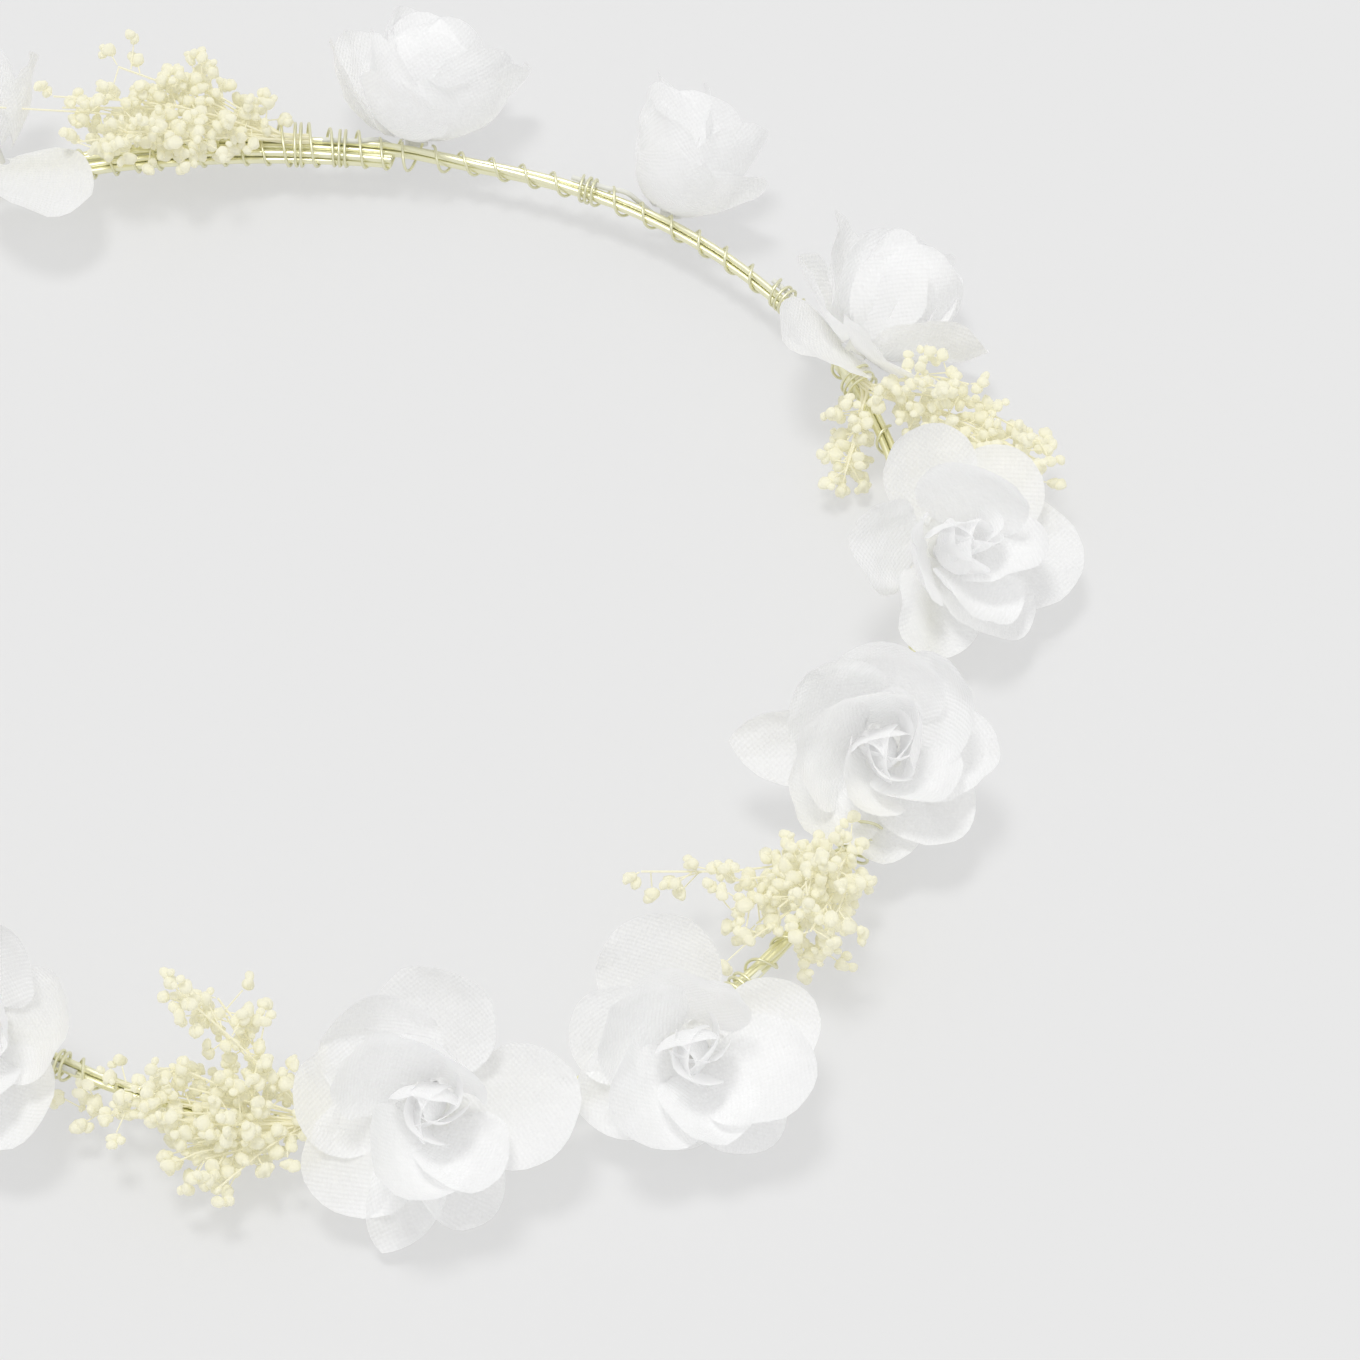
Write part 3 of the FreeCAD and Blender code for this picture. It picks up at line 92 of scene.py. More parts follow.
# Flower row: name, place round the ring, side of the ring it sits on (0 outside, 90 on top), lean,
# heading of the lean, petals; all in degrees.
# Petal row: layer, die, azimuth, opening, roll, cup, curl, flip, wave.
# Azimuth turns about the flower's axis from +X towards +Y, opening is the petal's angle from the axis and
# roll turns it about its own length, in degrees.  Cup rolls its sides inwards, curl bends its length
# inwards, flip turns its lip back out and wave ripples its lip.
FLOWERS = [
    ("peony_1", 79.0, 0.0, 40.0, 84.0, [
        ("inner", "small", 80, 2, 15, 2.1, 0.60, 0.0, 0.02),
        ("inner", "small", 205, 8, 15, 1.3, 0.60, -0.2, 0.07),
        ("inner", "small", 318, 10, 15, 1.2, 0.60, -0.2, 0.08),
        ("inner", "small", 18, 15, 15, 1.0, 0.65, -0.3, 0.09),
        ("inner", "small", 138, 17, 15, 1.0, 0.65, -0.3, 0.09),
        ("inner", "small", 258, 19, 15, 1.0, 0.65, -0.3, 0.09),
        ("middle", "large", 246, 18, 12, 0.6, 0.8, 0.0, 0.05),
        ("middle", "large", 308, 26, 14, 0.6, 0.8, 0.0, 0.05),
        ("middle", "large", 132, 16, -18, 0.5, 0.1, 0.0, 0.05),
        ("middle", "medium", 188, 26, 14, 0.7, 0.6, 0.0, 0.05),
        ("middle", "medium", 45, 28, 12, 0.7, 0.7, 0.0, 0.05),
        ("outer", "large", 216, 40, 14, 0.5, 0.8, 0.0, 0.06),
        ("outer", "large", 276, 36, 14, 0.5, 1.0, 0.0, 0.06),
        ("outer", "large", 330, 50, 14, 0.5, 0.6, 0.2, 0.07),
        ("outer", "large", 356, 62, 12, 0.5, 0.4, 0.2, 0.07),
        ("outer", "large", 248, 82, 12, 0.9, 1.3, 0.0, 0.05),
        ("outer", "large", 304, 80, 12, 0.9, 1.2, 0.0, 0.05),
        ("outer", "large", 150, 44, 12, 0.5, 0.3, 0.0, 0.06),
        ("outer", "large", 184, 54, 12, 0.5, 0.5, 0.0, 0.06),
        ("outer", "medium", 75, 50, 10, 0.6, 0.5, 0.0, 0.05),
        ("outer", "medium", 22, 56, 10, 0.6, 0.5, 0.0, 0.05),
    ]),
    ("bud_rose_1", 52.5, -10.0, 36.0, 70.0, [
        ("inner", "small", 250, 2, 15, 2.1, 0.60, 0.0, 0.02),
        ("inner", "small", 15, 8, 15, 1.3, 0.60, -0.2, 0.07),
        ("inner", "small", 128, 10, 15, 1.2, 0.60, -0.2, 0.08),
        ("inner", "small", 188, 15, 15, 1.0, 0.65, -0.3, 0.09),
        ("inner", "small", 308, 17, 15, 1.0, 0.65, -0.3, 0.09),
        ("inner", "small", 68, 19, 15, 1.0, 0.65, -0.3, 0.09),
        ("middle", "large", 272, 14, 10, 0.7, 0.8, 0.0, 0.03),
        ("middle", "long", 150, 12, -14, 0.7, 0.1, -0.2, 0.03),
        ("middle", "large", 20, 20, 14, 0.8, 0.7, 0.0, 0.04),
        ("middle", "large", 205, 18, -12, 0.6, 0.5, 0.0, 0.05),
        ("outer", "large", 226, 32, 14, 0.6, 0.6, 0.0, 0.06),
        ("outer", "large", 330, 40, 12, 0.6, 0.5, 0.3, 0.06),
        ("outer", "medium", 90, 44, 10, 0.7, 0.4, 0.0, 0.05),
        ("outer", "large", 262, 78, 12, 0.9, 1.3, 0.0, 0.04),
        ("outer", "medium", 312, 74, 12, 0.8, 0.9, 0.0, 0.05),
    ]),
    ("peony_2", 29.0, -8.0, 46.0, 45.0, [
        ("inner", "small", 40, 2, 15, 2.1, 0.60, 0.0, 0.02),
        ("inner", "small", 165, 8, 15, 1.3, 0.60, -0.2, 0.07),
        ("inner", "small", 278, 10, 15, 1.2, 0.60, -0.2, 0.08),
        ("inner", "small", 338, 15, 15, 1.0, 0.65, -0.3, 0.09),
        ("inner", "small", 98, 17, 15, 1.0, 0.65, -0.3, 0.09),
        ("inner", "small", 218, 19, 15, 1.0, 0.65, -0.3, 0.09),
        ("middle", "large", 62, 20, 12, 0.6, 0.8, 0.0, 0.05),
        ("middle", "large", 356, 26, 14, 0.6, 0.7, 0.0, 0.05),
        ("middle", "medium", 120, 24, 12, 0.7, 0.3, -0.2, 0.06),
        ("middle", "large", 222, 22, 12, 0.7, 0.6, 0.0, 0.05),
        ("middle", "large", 290, 24, 14, 0.6, 0.7, 0.0, 0.05),
        ("outer", "long", 158, 38, 14, 0.8, 0.1, 0.0, 0.05),
        ("outer", "large", 92, 42, 12, 0.5, 0.6, 0.0, 0.06),
        ("outer", "large", 24, 44, 12, 0.5, 0.6, 0.2, 0.06),
        ("outer", "large", 326, 58, 12, 0.5, 0.4, 0.0, 0.06),
        ("outer", "large", 278, 76, 10, 0.5, 0.2, 0.0, 0.06),
        ("outer", "large", 236, 96, 10, 0.4, 0.3, 0.0, 0.06),
        ("outer", "medium", 200, 66, 14, 0.6, 0.3, 0.0, 0.06),
    ]),
    ("hydrangea_1", 3.0, 55.0, 34.0, -50.0, [
        ("inner", "small", 50, 2, 15, 2.1, 0.60, 0.0, 0.02),
        ("inner", "small", 175, 8, 15, 1.3, 0.60, -0.2, 0.07),
        ("inner", "small", 288, 10, 15, 1.2, 0.60, -0.2, 0.08),
        ("inner", "small", 348, 15, 15, 1.0, 0.65, -0.3, 0.09),
        ("inner", "small", 108, 17, 15, 1.0, 0.65, -0.3, 0.09),
        ("inner", "small", 228, 19, 15, 1.0, 0.65, -0.3, 0.09),
        ("middle", "large", 76, 40, 12, 0.6, 0.5, 0.2, 0.06),
        ("middle", "medium", 204, 46, 16, 0.7, 0.5, 0.0, 0.06),
        ("middle", "medium", 282, 52, 14, 0.7, 0.4, 0.0, 0.05),
        ("middle", "medium", 338, 40, 14, 0.7, 0.5, 0.0, 0.06),
        ("outer", "medium", 104, 78, 8, 0.4, 0.2, 0.0, 0.05),
        ("outer", "medium", 46, 74, 8, 0.4, 0.3, 0.0, 0.05),
        ("outer", "large", 354, 78, 8, 0.4, 0.2, 0.0, 0.05),
        ("outer", "medium", 300, 66, 10, 0.5, 0.3, 0.0, 0.06),
        ("outer", "medium", 252, 74, 10, 0.5, 0.3, 0.0, 0.06),
        ("outer", "medium", 184, 70, 12, 0.5, 0.3, 0.0, 0.06),
    ]),
    ("rose_1", -19.6, 104.0, 34.0, -84.0, [
        ("inner", "small", 60, 2, 15, 2.1, 0.60, 0.0, 0.02),
        ("inner", "small", 185, 8, 15, 1.3, 0.60, -0.2, 0.07),
        ("inner", "small", 298, 10, 15, 1.2, 0.60, -0.2, 0.08),
        ("inner", "small", 358, 15, 15, 1.0, 0.65, -0.3, 0.09),
        ("inner", "small", 118, 17, 15, 1.0, 0.65, -0.3, 0.09),
        ("inner", "small", 238, 19, 15, 1.0, 0.65, -0.3, 0.09),
        ("middle", "medium", 25, 28, 16, 0.9, 0.6, 0.1, 0.06),
        ("middle", "large", 112, 40, 16, 0.8, 0.6, 0.1, 0.06),
        ("middle", "medium", 232, 38, 16, 0.9, 0.5, 0.1, 0.06),
        ("middle", "large", 180, 48, 18, 0.8, 0.4, 0.0, 0.07),
        ("middle", "medium", 310, 42, 16, 0.8, 0.5, 0.1, 0.06),
        ("outer", "large", 134, 68, 10, 0.8, 0.8, 0.0, 0.06),
        ("outer", "large", 82, 60, 12, 0.7, 0.6, 0.0, 0.06),
        ("outer", "large", 36, 58, 12, 0.7, 0.6, 0.0, 0.06),
        ("outer", "medium", 350, 64, 12, 0.5, 0.4, 0.0, 0.06),
        ("outer", "medium", 304, 68, 12, 0.5, 0.4, 0.0, 0.06),
        ("outer", "medium", 262, 66, 12, 0.5, 0.4, 0.0, 0.06),
        ("outer", "large", 216, 54, 12, 0.6, 0.3, 0.0, 0.06),
        ("outer", "long", 178, 80, 12, 0.8, 0.0, 0.0, 0.05),
    ]),
    ("hydrangea_2", -53.0, 40.0, 34.0, -86.0, [
        ("inner", "small", 60, 2, 15, 2.1, 0.60, 0.0, 0.02),
        ("inner", "small", 185, 8, 15, 1.3, 0.60, -0.2, 0.07),
        ("inner", "small", 298, 10, 15, 1.2, 0.60, -0.2, 0.08),
        ("inner", "small", 358, 15, 15, 1.0, 0.65, -0.3, 0.09),
        ("inner", "small", 118, 17, 15, 1.0, 0.65, -0.3, 0.09),
        ("inner", "small", 238, 19, 15, 1.0, 0.65, -0.3, 0.09),
        ("middle", "large", 158, 46, 14, 0.7, 0.3, 0.0, 0.06),
        ("middle", "large", 226, 54, 12, 0.7, 0.5, 0.0, 0.05),
        ("middle", "large", 334, 58, 12, 0.5, 0.4, 0.0, 0.05),
        ("middle", "large", 88, 40, 14, 0.7, 0.3, 0.0, 0.06),
        ("middle", "medium", 280, 50, 12, 0.6, 0.4, 0.0, 0.06),
        ("outer", "medium", 168, 76, 10, 0.5, 0.3, 0.0, 0.05),
        ("outer", "medium", 210, 78, 8, 0.5, 0.3, 0.0, 0.06),
        ("outer", "small", 258, 78, 8, 0.4, 0.2, 0.0, 0.05),
        ("outer", "medium", 304, 66, 8, 0.5, 0.3, 0.0, 0.06),
        ("outer", "medium", 12, 74, 8, 0.5, 0.2, 0.0, 0.06),
        ("outer", "large", 114, 74, 8, 0.4, 0.2, 0.0, 0.05),
    ]),
    ("rose_2", -75.0, 88.0, 34.0, -90.0, [
        ("inner", "small", 40, 2, 15, 2.1, 0.60, 0.0, 0.02),
        ("inner", "small", 165, 8, 15, 1.3, 0.60, -0.2, 0.07),
        ("inner", "small", 278, 10, 15, 1.2, 0.60, -0.2, 0.08),
        ("inner", "small", 338, 15, 15, 1.0, 0.65, -0.3, 0.09),
        ("inner", "small", 98, 17, 15, 1.0, 0.65, -0.3, 0.09),
        ("inner", "small", 218, 19, 15, 1.0, 0.65, -0.3, 0.09),
        ("middle", "large", 138, 46, 18, 0.8, 0.3, 0.0, 0.06),
        ("middle", "large", 244, 46, 12, 0.8, 0.6, 0.0, 0.06),
        ("middle", "large", 72, 36, 14, 0.7, 0.4, 0.3, 0.07),
        ("middle", "medium", 300, 50, 14, 0.8, 0.4, 0.0, 0.06),
        ("outer", "large", 356, 76, 8, 0.35, 0.2, 0.0, 0.04),
        ("outer", "large", 172, 72, 12, 0.5, 0.4, 0.0, 0.06),
        ("outer", "large", 130, 66, 12, 0.6, 0.3, 0.0, 0.07),
        ("outer", "large", 86, 70, 10, 0.5, 0.2, 0.0, 0.06),
        ("outer", "large", 216, 78, 10, 0.5, 0.3, 0.0, 0.06),
        ("outer", "long", 252, 74, 8, 1.0, 0.1, -0.2, 0.05),
        ("outer", "medium", 288, 70, 8, 1.0, 0.2, -0.2, 0.05),
    ]),
    ("magnolia_1", -117.0, 60.0, 34.0, -104.0, [
        ("inner", "small", 90, 2, 15, 2.1, 0.60, 0.0, 0.02),
        ("inner", "small", 215, 8, 15, 1.3, 0.60, -0.2, 0.07),
        ("inner", "small", 328, 10, 15, 1.2, 0.60, -0.2, 0.08),
        ("inner", "small", 28, 15, 15, 1.0, 0.65, -0.3, 0.09),
        ("inner", "small", 148, 17, 15, 1.0, 0.65, -0.3, 0.09),
        ("inner", "small", 268, 19, 15, 1.0, 0.65, -0.3, 0.09),
        ("middle", "medium", 30, 38, 10, 0.9, 0.6, 0.0, 0.03),
        ("middle", "medium", 150, 40, 10, 0.9, 0.6, 0.0, 0.03),
        ("middle", "large", 262, 42, 10, 0.9, 0.7, 0.0, 0.03),
        ("outer", "large", 0, 64, 8, 0.7, 0.7, 0.0, 0.03),
        ("outer", "large", 75, 66, 8, 0.7, 0.6, 0.0, 0.03),
        ("outer", "large", 145, 66, 8, 0.7, 0.6, 0.0, 0.03),
        ("outer", "large", 218, 68, 8, 0.7, 0.6, 0.0, 0.03),
        ("outer", "large", 292, 68, 8, 0.7, 0.6, 0.0, 0.03),
    ]),
    ("hydrangea_3", -150.0, 45.0, 34.0, -140.0, [
        ("inner", "small", 40, 2, 15, 2.1, 0.60, 0.0, 0.02),
        ("inner", "small", 165, 8, 15, 1.3, 0.60, -0.2, 0.07),
        ("inner", "small", 278, 10, 15, 1.2, 0.60, -0.2, 0.08),
        ("inner", "small", 338, 15, 15, 1.0, 0.65, -0.3, 0.09),
        ("inner", "small", 98, 17, 15, 1.0, 0.65, -0.3, 0.09),
        ("inner", "small", 218, 19, 15, 1.0, 0.65, -0.3, 0.09),
        ("middle", "medium", 290, 52, 12, 0.7, 0.4, 0.0, 0.05),
        ("middle", "large", 95, 52, -12, 0.7, 0.4, 0.0, 0.05),
        ("middle", "medium", 195, 50, 14, 0.8, 0.3, 0.0, 0.05),
        ("outer", "medium", 20, 76, 8, 0.5, 0.2, 0.0, 0.05),
        ("outer", "large", 130, 76, 0, 0.4, 0.2, 0.0, 0.05),
        ("outer", "medium", 180, 76, 10, 0.5, 0.2, 0.0, 0.05),
        ("outer", "large", 245, 78, 0, 0.5, 0.3, 0.0, 0.05),
        ("outer", "medium", 315, 78, 10, 0.5, 0.2, 0.0, 0.05),
        ("outer", "medium", 70, 74, 0, 0.5, 0.2, 0.0, 0.05),
    ]),
    ("rose_3", -178.0, 50.0, 36.0, 178.0, [
        ("inner", "small", 70, 2, 15, 2.1, 0.60, 0.0, 0.02),
        ("inner", "small", 195, 8, 15, 1.3, 0.60, -0.2, 0.07),
        ("inner", "small", 308, 10, 15, 1.2, 0.60, -0.2, 0.08),
        ("inner", "small", 8, 15, 15, 1.0, 0.65, -0.3, 0.09),
        ("inner", "small", 128, 17, 15, 1.0, 0.65, -0.3, 0.09),
        ("inner", "small", 248, 19, 15, 1.0, 0.65, -0.3, 0.09),
        ("middle", "medium", 10, 36, 14, 1.0, 0.5, 0.0, 0.04),
        ("middle", "large", 100, 40, 14, 1.0, 0.5, 0.0, 0.04),
        ("middle", "medium", 190, 38, 14, 1.0, 0.5, 0.0, 0.04),
        ("middle", "medium", 280, 40, 14, 0.9, 0.5, 0.0, 0.04),
        ("outer", "large", 50, 66, 8, 0.6, 0.4, 0.1, 0.05),
        ("outer", "large", 122, 68, 8, 0.6, 0.4, 0.1, 0.05),
        ("outer", "medium", 180, 70, 8, 0.6, 0.3, 0.0, 0.05),
        ("outer", "large", 238, 72, 8, 0.6, 0.4, 0.0, 0.05),
        ("outer", "large", 315, 68, 8, 0.6, 0.4, 0.1, 0.05),
    ]),
    ("peony_3", 151.0, 10.0, 40.0, 150.0, [
        ("inner", "small", 90, 2, 15, 2.1, 0.60, 0.0, 0.02),
        ("inner", "small", 215, 8, 15, 1.3, 0.60, -0.2, 0.07),
        ("inner", "small", 328, 10, 15, 1.2, 0.60, -0.2, 0.08),
        ("inner", "small", 28, 15, 15, 1.0, 0.65, -0.3, 0.09),
        ("inner", "small", 148, 17, 15, 1.0, 0.65, -0.3, 0.09),
        ("inner", "small", 268, 19, 15, 1.0, 0.65, -0.3, 0.09),
        ("middle", "medium", 30, 28, 10, 0.9, 0.8, 0.0, 0.04),
        ("middle", "large", 110, 28, 10, 0.9, 0.8, 0.0, 0.04),
        ("middle", "medium", 200, 30, 10, 0.9, 0.8, 0.0, 0.04),
        ("middle", "large", 290, 28, 10, 0.9, 0.8, 0.0, 0.04),
        ("outer", "medium", 70, 52, 10, 0.7, 0.5, 0.0, 0.05),
        ("outer", "medium", 155, 56, 10, 0.7, 0.4, 0.0, 0.05),
        ("outer", "large", 250, 78, 8, 0.5, 0.3, 0.0, 0.05),
        ("outer", "medium", 335, 58, 10, 0.7, 0.4, 0.0, 0.05),
    ]),
    ("bud_rose_2", 121.5, 14.0, 40.0, 120.0, [
        ("inner", "small", 270, 2, 15, 2.1, 0.60, 0.0, 0.02),
        ("inner", "small", 35, 8, 15, 1.3, 0.60, -0.2, 0.07),
        ("inner", "small", 148, 10, 15, 1.2, 0.60, -0.2, 0.08),
        ("inner", "small", 208, 15, 15, 1.0, 0.65, -0.3, 0.09),
        ("inner", "small", 328, 17, 15, 1.0, 0.65, -0.3, 0.09),
        ("inner", "small", 88, 19, 15, 1.0, 0.65, -0.3, 0.09),
        ("middle", "medium", 200, 20, 10, 1.0, 0.7, 0.0, 0.03),
        ("middle", "large", 310, 22, 10, 1.0, 0.8, 0.0, 0.03),
        ("middle", "medium", 80, 22, 10, 1.0, 0.7, 0.0, 0.03),
        ("outer", "medium", 10, 48, 10, 0.7, 0.4, 0.1, 0.05),
        ("outer", "medium", 130, 50, 10, 0.7, 0.4, 0.1, 0.05),
        ("outer", "large", 306, 118, 8, 0.4, 0.1, 0.0, 0.04),
    ]),
]

# ---------------------------------------------------------------- properties
class CrownPetalSettings(bpy.types.PropertyGroup):
    thread: FloatProperty(name="Thread pitch", description="Distance between threads of the weave",
                          default=0.00045, min=0.0001, unit="LENGTH")
    colour: FloatVectorProperty(name="Colour", description="Colour of the cloth", subtype="COLOR",
                                default=(0.99, 0.99, 0.99), min=0, max=1)
    # The cloth gives off no light; this emission is painted light that lifts the petals' shade.
    painted_glow: FloatProperty(name="Painted light", description="Even painted light added over the cloth's shading",
                        default=0.10, min=0)
    through: FloatProperty(name="Sheerness", description="Share of the light that passes through the cloth",
                           default=0.45, min=0, max=1)
    rows: IntProperty(name="Rows", description="Divisions along a petal", default=20, min=4)
    columns: IntProperty(name="Columns", description="Divisions across a petal", default=24, min=4)
    crease: FloatProperty(name="Crease", description="Depth of the creases in a petal", default=0.0016,
                          min=0, unit="LENGTH")


class CrownSpraySettings(bpy.types.PropertyGroup):
    bud: FloatProperty(name="Bud", description="Diameter of a bud", default=0.0021, min=0.001,
                       unit="LENGTH")
    cluster: IntProperty(name="Cluster", description="Smaller florets beside each bud", default=2,
                         min=0, max=4)
    bud_colour: FloatVectorProperty(name="Bud colour", description="Colour of the dried buds",
                                    subtype="COLOR", default=(1.0, 0.985, 0.86), min=0, max=1)
    stalk_colour: FloatVectorProperty(name="Stalk colour", description="Colour of the dried stalks",
                                      subtype="COLOR", default=(1.0, 0.98, 0.84), min=0, max=1)


class CrownWireSettings(bpy.types.PropertyGroup):
    colour: FloatVectorProperty(name="Gilt", description="Colour of the gilt wire", subtype="COLOR",
                                default=(1.0, 0.985, 0.72), min=0, max=1)


class CrownStageSettings(bpy.types.PropertyGroup):
    floor: FloatVectorProperty(name="Floor", description="Colour of the floor and of the backdrop",
                               subtype="COLOR", default=(0.807, 0.807, 0.807), min=0, max=1)
    lift: FloatProperty(name="Shadow lift", default=0.60, min=0, max=1,
                        description="How far the floor's shadows are paled for the camera")
    lens: FloatProperty(name="Lens", description="Focal length of the camera, mm", default=152.2, min=10)
    elevation: FloatProperty(name="Elevation", description="Height of the camera above the horizon",
                             default=math.radians(56.0), subtype="ANGLE")
    distance: FloatProperty(name="Distance", description="From the camera to what it looks at",
                            default=0.8384, min=0.1, unit="LENGTH")


# ---------------------------------------------------------------- the ring and its flowers
def ring_point(turn):
    """Point of the ring's centre line, mm from the ring's middle."""
    radius = RING_RADIUS + RING_OVAL * math.cos(2 * (turn - OVAL_TURN))
    radius += RING_CORNER * math.cos(3 * (turn - CORNER_TURN))
    return Vector((radius * math.cos(turn), radius * math.sin(turn), 0))


def ring_outside(turn):
    """Level direction straight out of the ring."""
    nudge = 0.001
    return (ring_point(turn + nudge) - ring_point(turn - nudge)).normalized().cross(UP)


def flower_axes(lean, heading):
    """The way a flower faces, and two directions across it."""
    lean, heading = math.radians(lean), math.radians(heading)
    axis = Vector((math.sin(lean) * math.cos(heading), math.sin(lean) * math.sin(heading), math.cos(lean)))
    across = Vector((1, 0, 0))
    across = (across - axis * across.dot(axis)).normalized()
    return axis, across, axis.cross(across)


def flat_petal(die, along, across):
    """Point of the flat die: a round lobe on a tapered claw."""
    length, width = DIES[die]
    lobe = width / 2
    middle = length - lobe
    fan = across * math.asin(min(lobe / middle, MOST_FAN))
    edge = middle * math.cos(fan) + math.sqrt(max(lobe ** 2 - (middle * math.sin(fan)) ** 2, 0.0))
    edge = min(edge, length)
    if die == LONG_DIE:
        edge += TIP_SHARE * length * (1 - abs(across)) ** 2
    reach = edge * (CLAW + (1 - CLAW) * along)
    return reach * math.sin(fan), reach * math.cos(fan)


def bent_petal(petal, x, y, across, steps=8):
    """Place of the flat point (x, y) on the shaped petal."""
    _, die, azimuth, _, _, cup, curl, flip, wave = petal
    length, width = DIES[die]
    roll = cup / (width / 2)
    depth = (1 - math.cos(roll * x)) / roll
    depth += wave * width * (y / length) ** 2 * math.sin(WAVES * across + math.radians(azimuth))
    side = math.sin(roll * x) / roll
    forward = height = 0.0
    for step in range(steps):
        share = (step + 0.5) * y / steps / length
        slope = curl * share + flip * share ** 3
        forward += math.cos(slope) * y / steps
        height += math.sin(slope) * y / steps
    slope = curl * y / length + flip * (y / length) ** 3
    return Vector((side, forward - depth * math.sin(slope), height + depth * math.cos(slope)))


def petal_place(petal, axes):
    """Foot of a petal from its bead's middle, and its own directions: sideways, along and inwards."""
    axis, first, second = axes
    azimuth, opening, roll = (math.radians(angle) for angle in petal[2:5])
    outside = first * math.cos(azimuth) + second * math.sin(azimuth)
    along = axis * math.cos(opening) + outside * math.sin(opening)
    inwards = axis * math.sin(opening) - outside * math.cos(opening)
    level = LAYERS.index(petal[0])
    base = outside * (HUB_RADIUS + FABRIC + LAYER_STEP * (2 - level))
    base += axis * HUB_LENGTH * LAYER_HEIGHTS[level]
    sideways = along.cross(inwards)
    turned = sideways * math.cos(roll) + inwards * math.sin(roll)
    return base, turned, along, turned.cross(along)


def petal_spot(petal, axes, along_share, across):
    """Place on a petal, mm from its bead's middle."""
    base, sideways, along, inwards = petal_place(petal, axes)
    x, y = flat_petal(petal[1], along_share, across)
    spot = bent_petal(petal, x, y, across)
    return base + sideways * spot.x + along * spot.y + inwards * spot.z


def hub_centre(flower):
    """A bead sits as high as lets its lowest petal touch the table, mm in the crown's own frame."""
    _, station, side, lean, heading, petals = flower
    axes = flower_axes(lean, heading)
    lowest = min(petal_spot(petal, axes, row / 5, column / 4 - 1).z
                 for petal in petals for row in range(6) for column in range(9))
    turn, side = math.radians(station), math.radians(side)
    spot = ring_point(turn) + (ring_outside(turn) * math.cos(side) + UP * math.sin(side)) * HUB_DISTANCE
    spot += RING_CENTRE / MM
    return Vector((spot.x, spot.y, max(spot.z, FABRIC - lowest)))


# ---------------------------------------------------------------- materials
class Sock:
    """A number or colour in a material, so that shader maths reads as Python."""

    def __init__(self, tree, socket):
        self.tree, self.socket = tree, socket

    def node(self, kind, inputs=(), output=0, **settings):
        """Add a node: its settings first, then the values or links of its sockets."""
        made = self.tree.nodes.new(kind)
        for name, value in settings.items():
            setattr(made, name, value)
        for key, value in dict(inputs).items():
            if isinstance(value, Sock):
                self.tree.links.new(value.socket, made.inputs[key])
            else:
                made.inputs[key].default_value = value
        return Sock(self.tree, made.outputs[output])

    def maths(self, operation, *values):
        return self.node("ShaderNodeMath", enumerate(values), operation=operation)

    def __add__(self, other):
        return self.maths("ADD", self, other)

    def __mul__(self, other):
        return self.maths("MULTIPLY", self, other)

    __radd__, __rmul__ = __add__, __mul__


def material(name):
    """An empty material, and the start of its maths."""
    made = bpy.data.materials.new(name)
    made.use_nodes = True
    made.node_tree.nodes.clear()
    return made, Sock(made.node_tree, None)


def finish_material(start, shader):
    """Join a shader to the material's output."""
    out = start.tree.nodes.new("ShaderNodeOutputMaterial")
    start.tree.links.new(shader.socket, out.inputs["Surface"])


def petal_cloth(settings):
    """Stiffened white cloth: plain weave, a little light through it, faint creases, and an even painted
    light on top that lifts its shade.
    """
    made, start = material("petal_cloth")
    flat = start.node("ShaderNodeUVMap", uv_map="flat_cut")
    threads = start.node("ShaderNodeMapping", {"Vector": flat, "Scale": (1 / settings.thread,) * 3})
    across, along = (start.node("ShaderNodeSeparateXYZ", {"Vector": threads}, output=axis) for axis in "XY")
    weave = start.maths("SINE", across * math.pi) * start.maths("SINE", along * math.pi)
    place = start.node("ShaderNodeTexCoord", output="Object")
    cloud = start.node("ShaderNodeTexNoise", {"Vector": place, "Scale": 160.0, "Detail": 3.0})
    height = weave * 0.5 + cloud * 0.6
    bump = start.node("ShaderNodeBump", {"Height": height, "Strength": 0.5, "Distance": 0.0002})
    tint = start.node("ShaderNodeMix", {0: weave * 0.5 + 0.5, 6: (*[c * 0.96 for c in settings.colour], 1),
                                        7: (*settings.colour, 1)}, output=2, data_type="RGBA")
    # The emission is painted light: an even brightness that lifts the cloth's shaded parts.
    cloth = start.node("ShaderNodeBsdfPrincipled", {
        "Base Color": tint, "Roughness": 0.75, "Normal": bump, "Specular IOR Level": 0.25,
        "Sheen Weight": 0.15, "Emission Color": (1, 1, 1, 1), "Emission Strength": settings.painted_glow})
    through = start.node("ShaderNodeBsdfTranslucent", {"Color": (*settings.colour, 1), "Normal": bump})
    finish_material(start, start.node("ShaderNodeMixShader", {0: settings.through, 1: cloth, 2: through}))
    return made


def gilt(name, colour, roughness):
    """Bright drawn wire with a pale gilt finish, a little dull in places."""
    made, start = material(name)
    place = start.node("ShaderNodeTexCoord", output="Object")
    patches = start.node("ShaderNodeTexNoise", {"Vector": place, "Scale": 220.0, "Detail": 4.0})
    lines = start.node("ShaderNodeTexNoise", {"Vector": place, "Scale": 2500.0, "Detail": 2.0})
    tint = start.node("ShaderNodeMix", {0: patches, 6: (*[c * 0.86 for c in colour], 1), 7: (*colour, 1)},
                      output=2, data_type="RGBA")
    bump = start.node("ShaderNodeBump", {"Height": lines, "Strength": 0.15, "Distance": 0.00005})
    metal = start.node("ShaderNodeBsdfPrincipled", {
        "Base Color": tint, "Metallic": 1.0, "Roughness": patches * 0.2 + roughness, "Normal": bump})
    finish_material(start, metal)
    return made


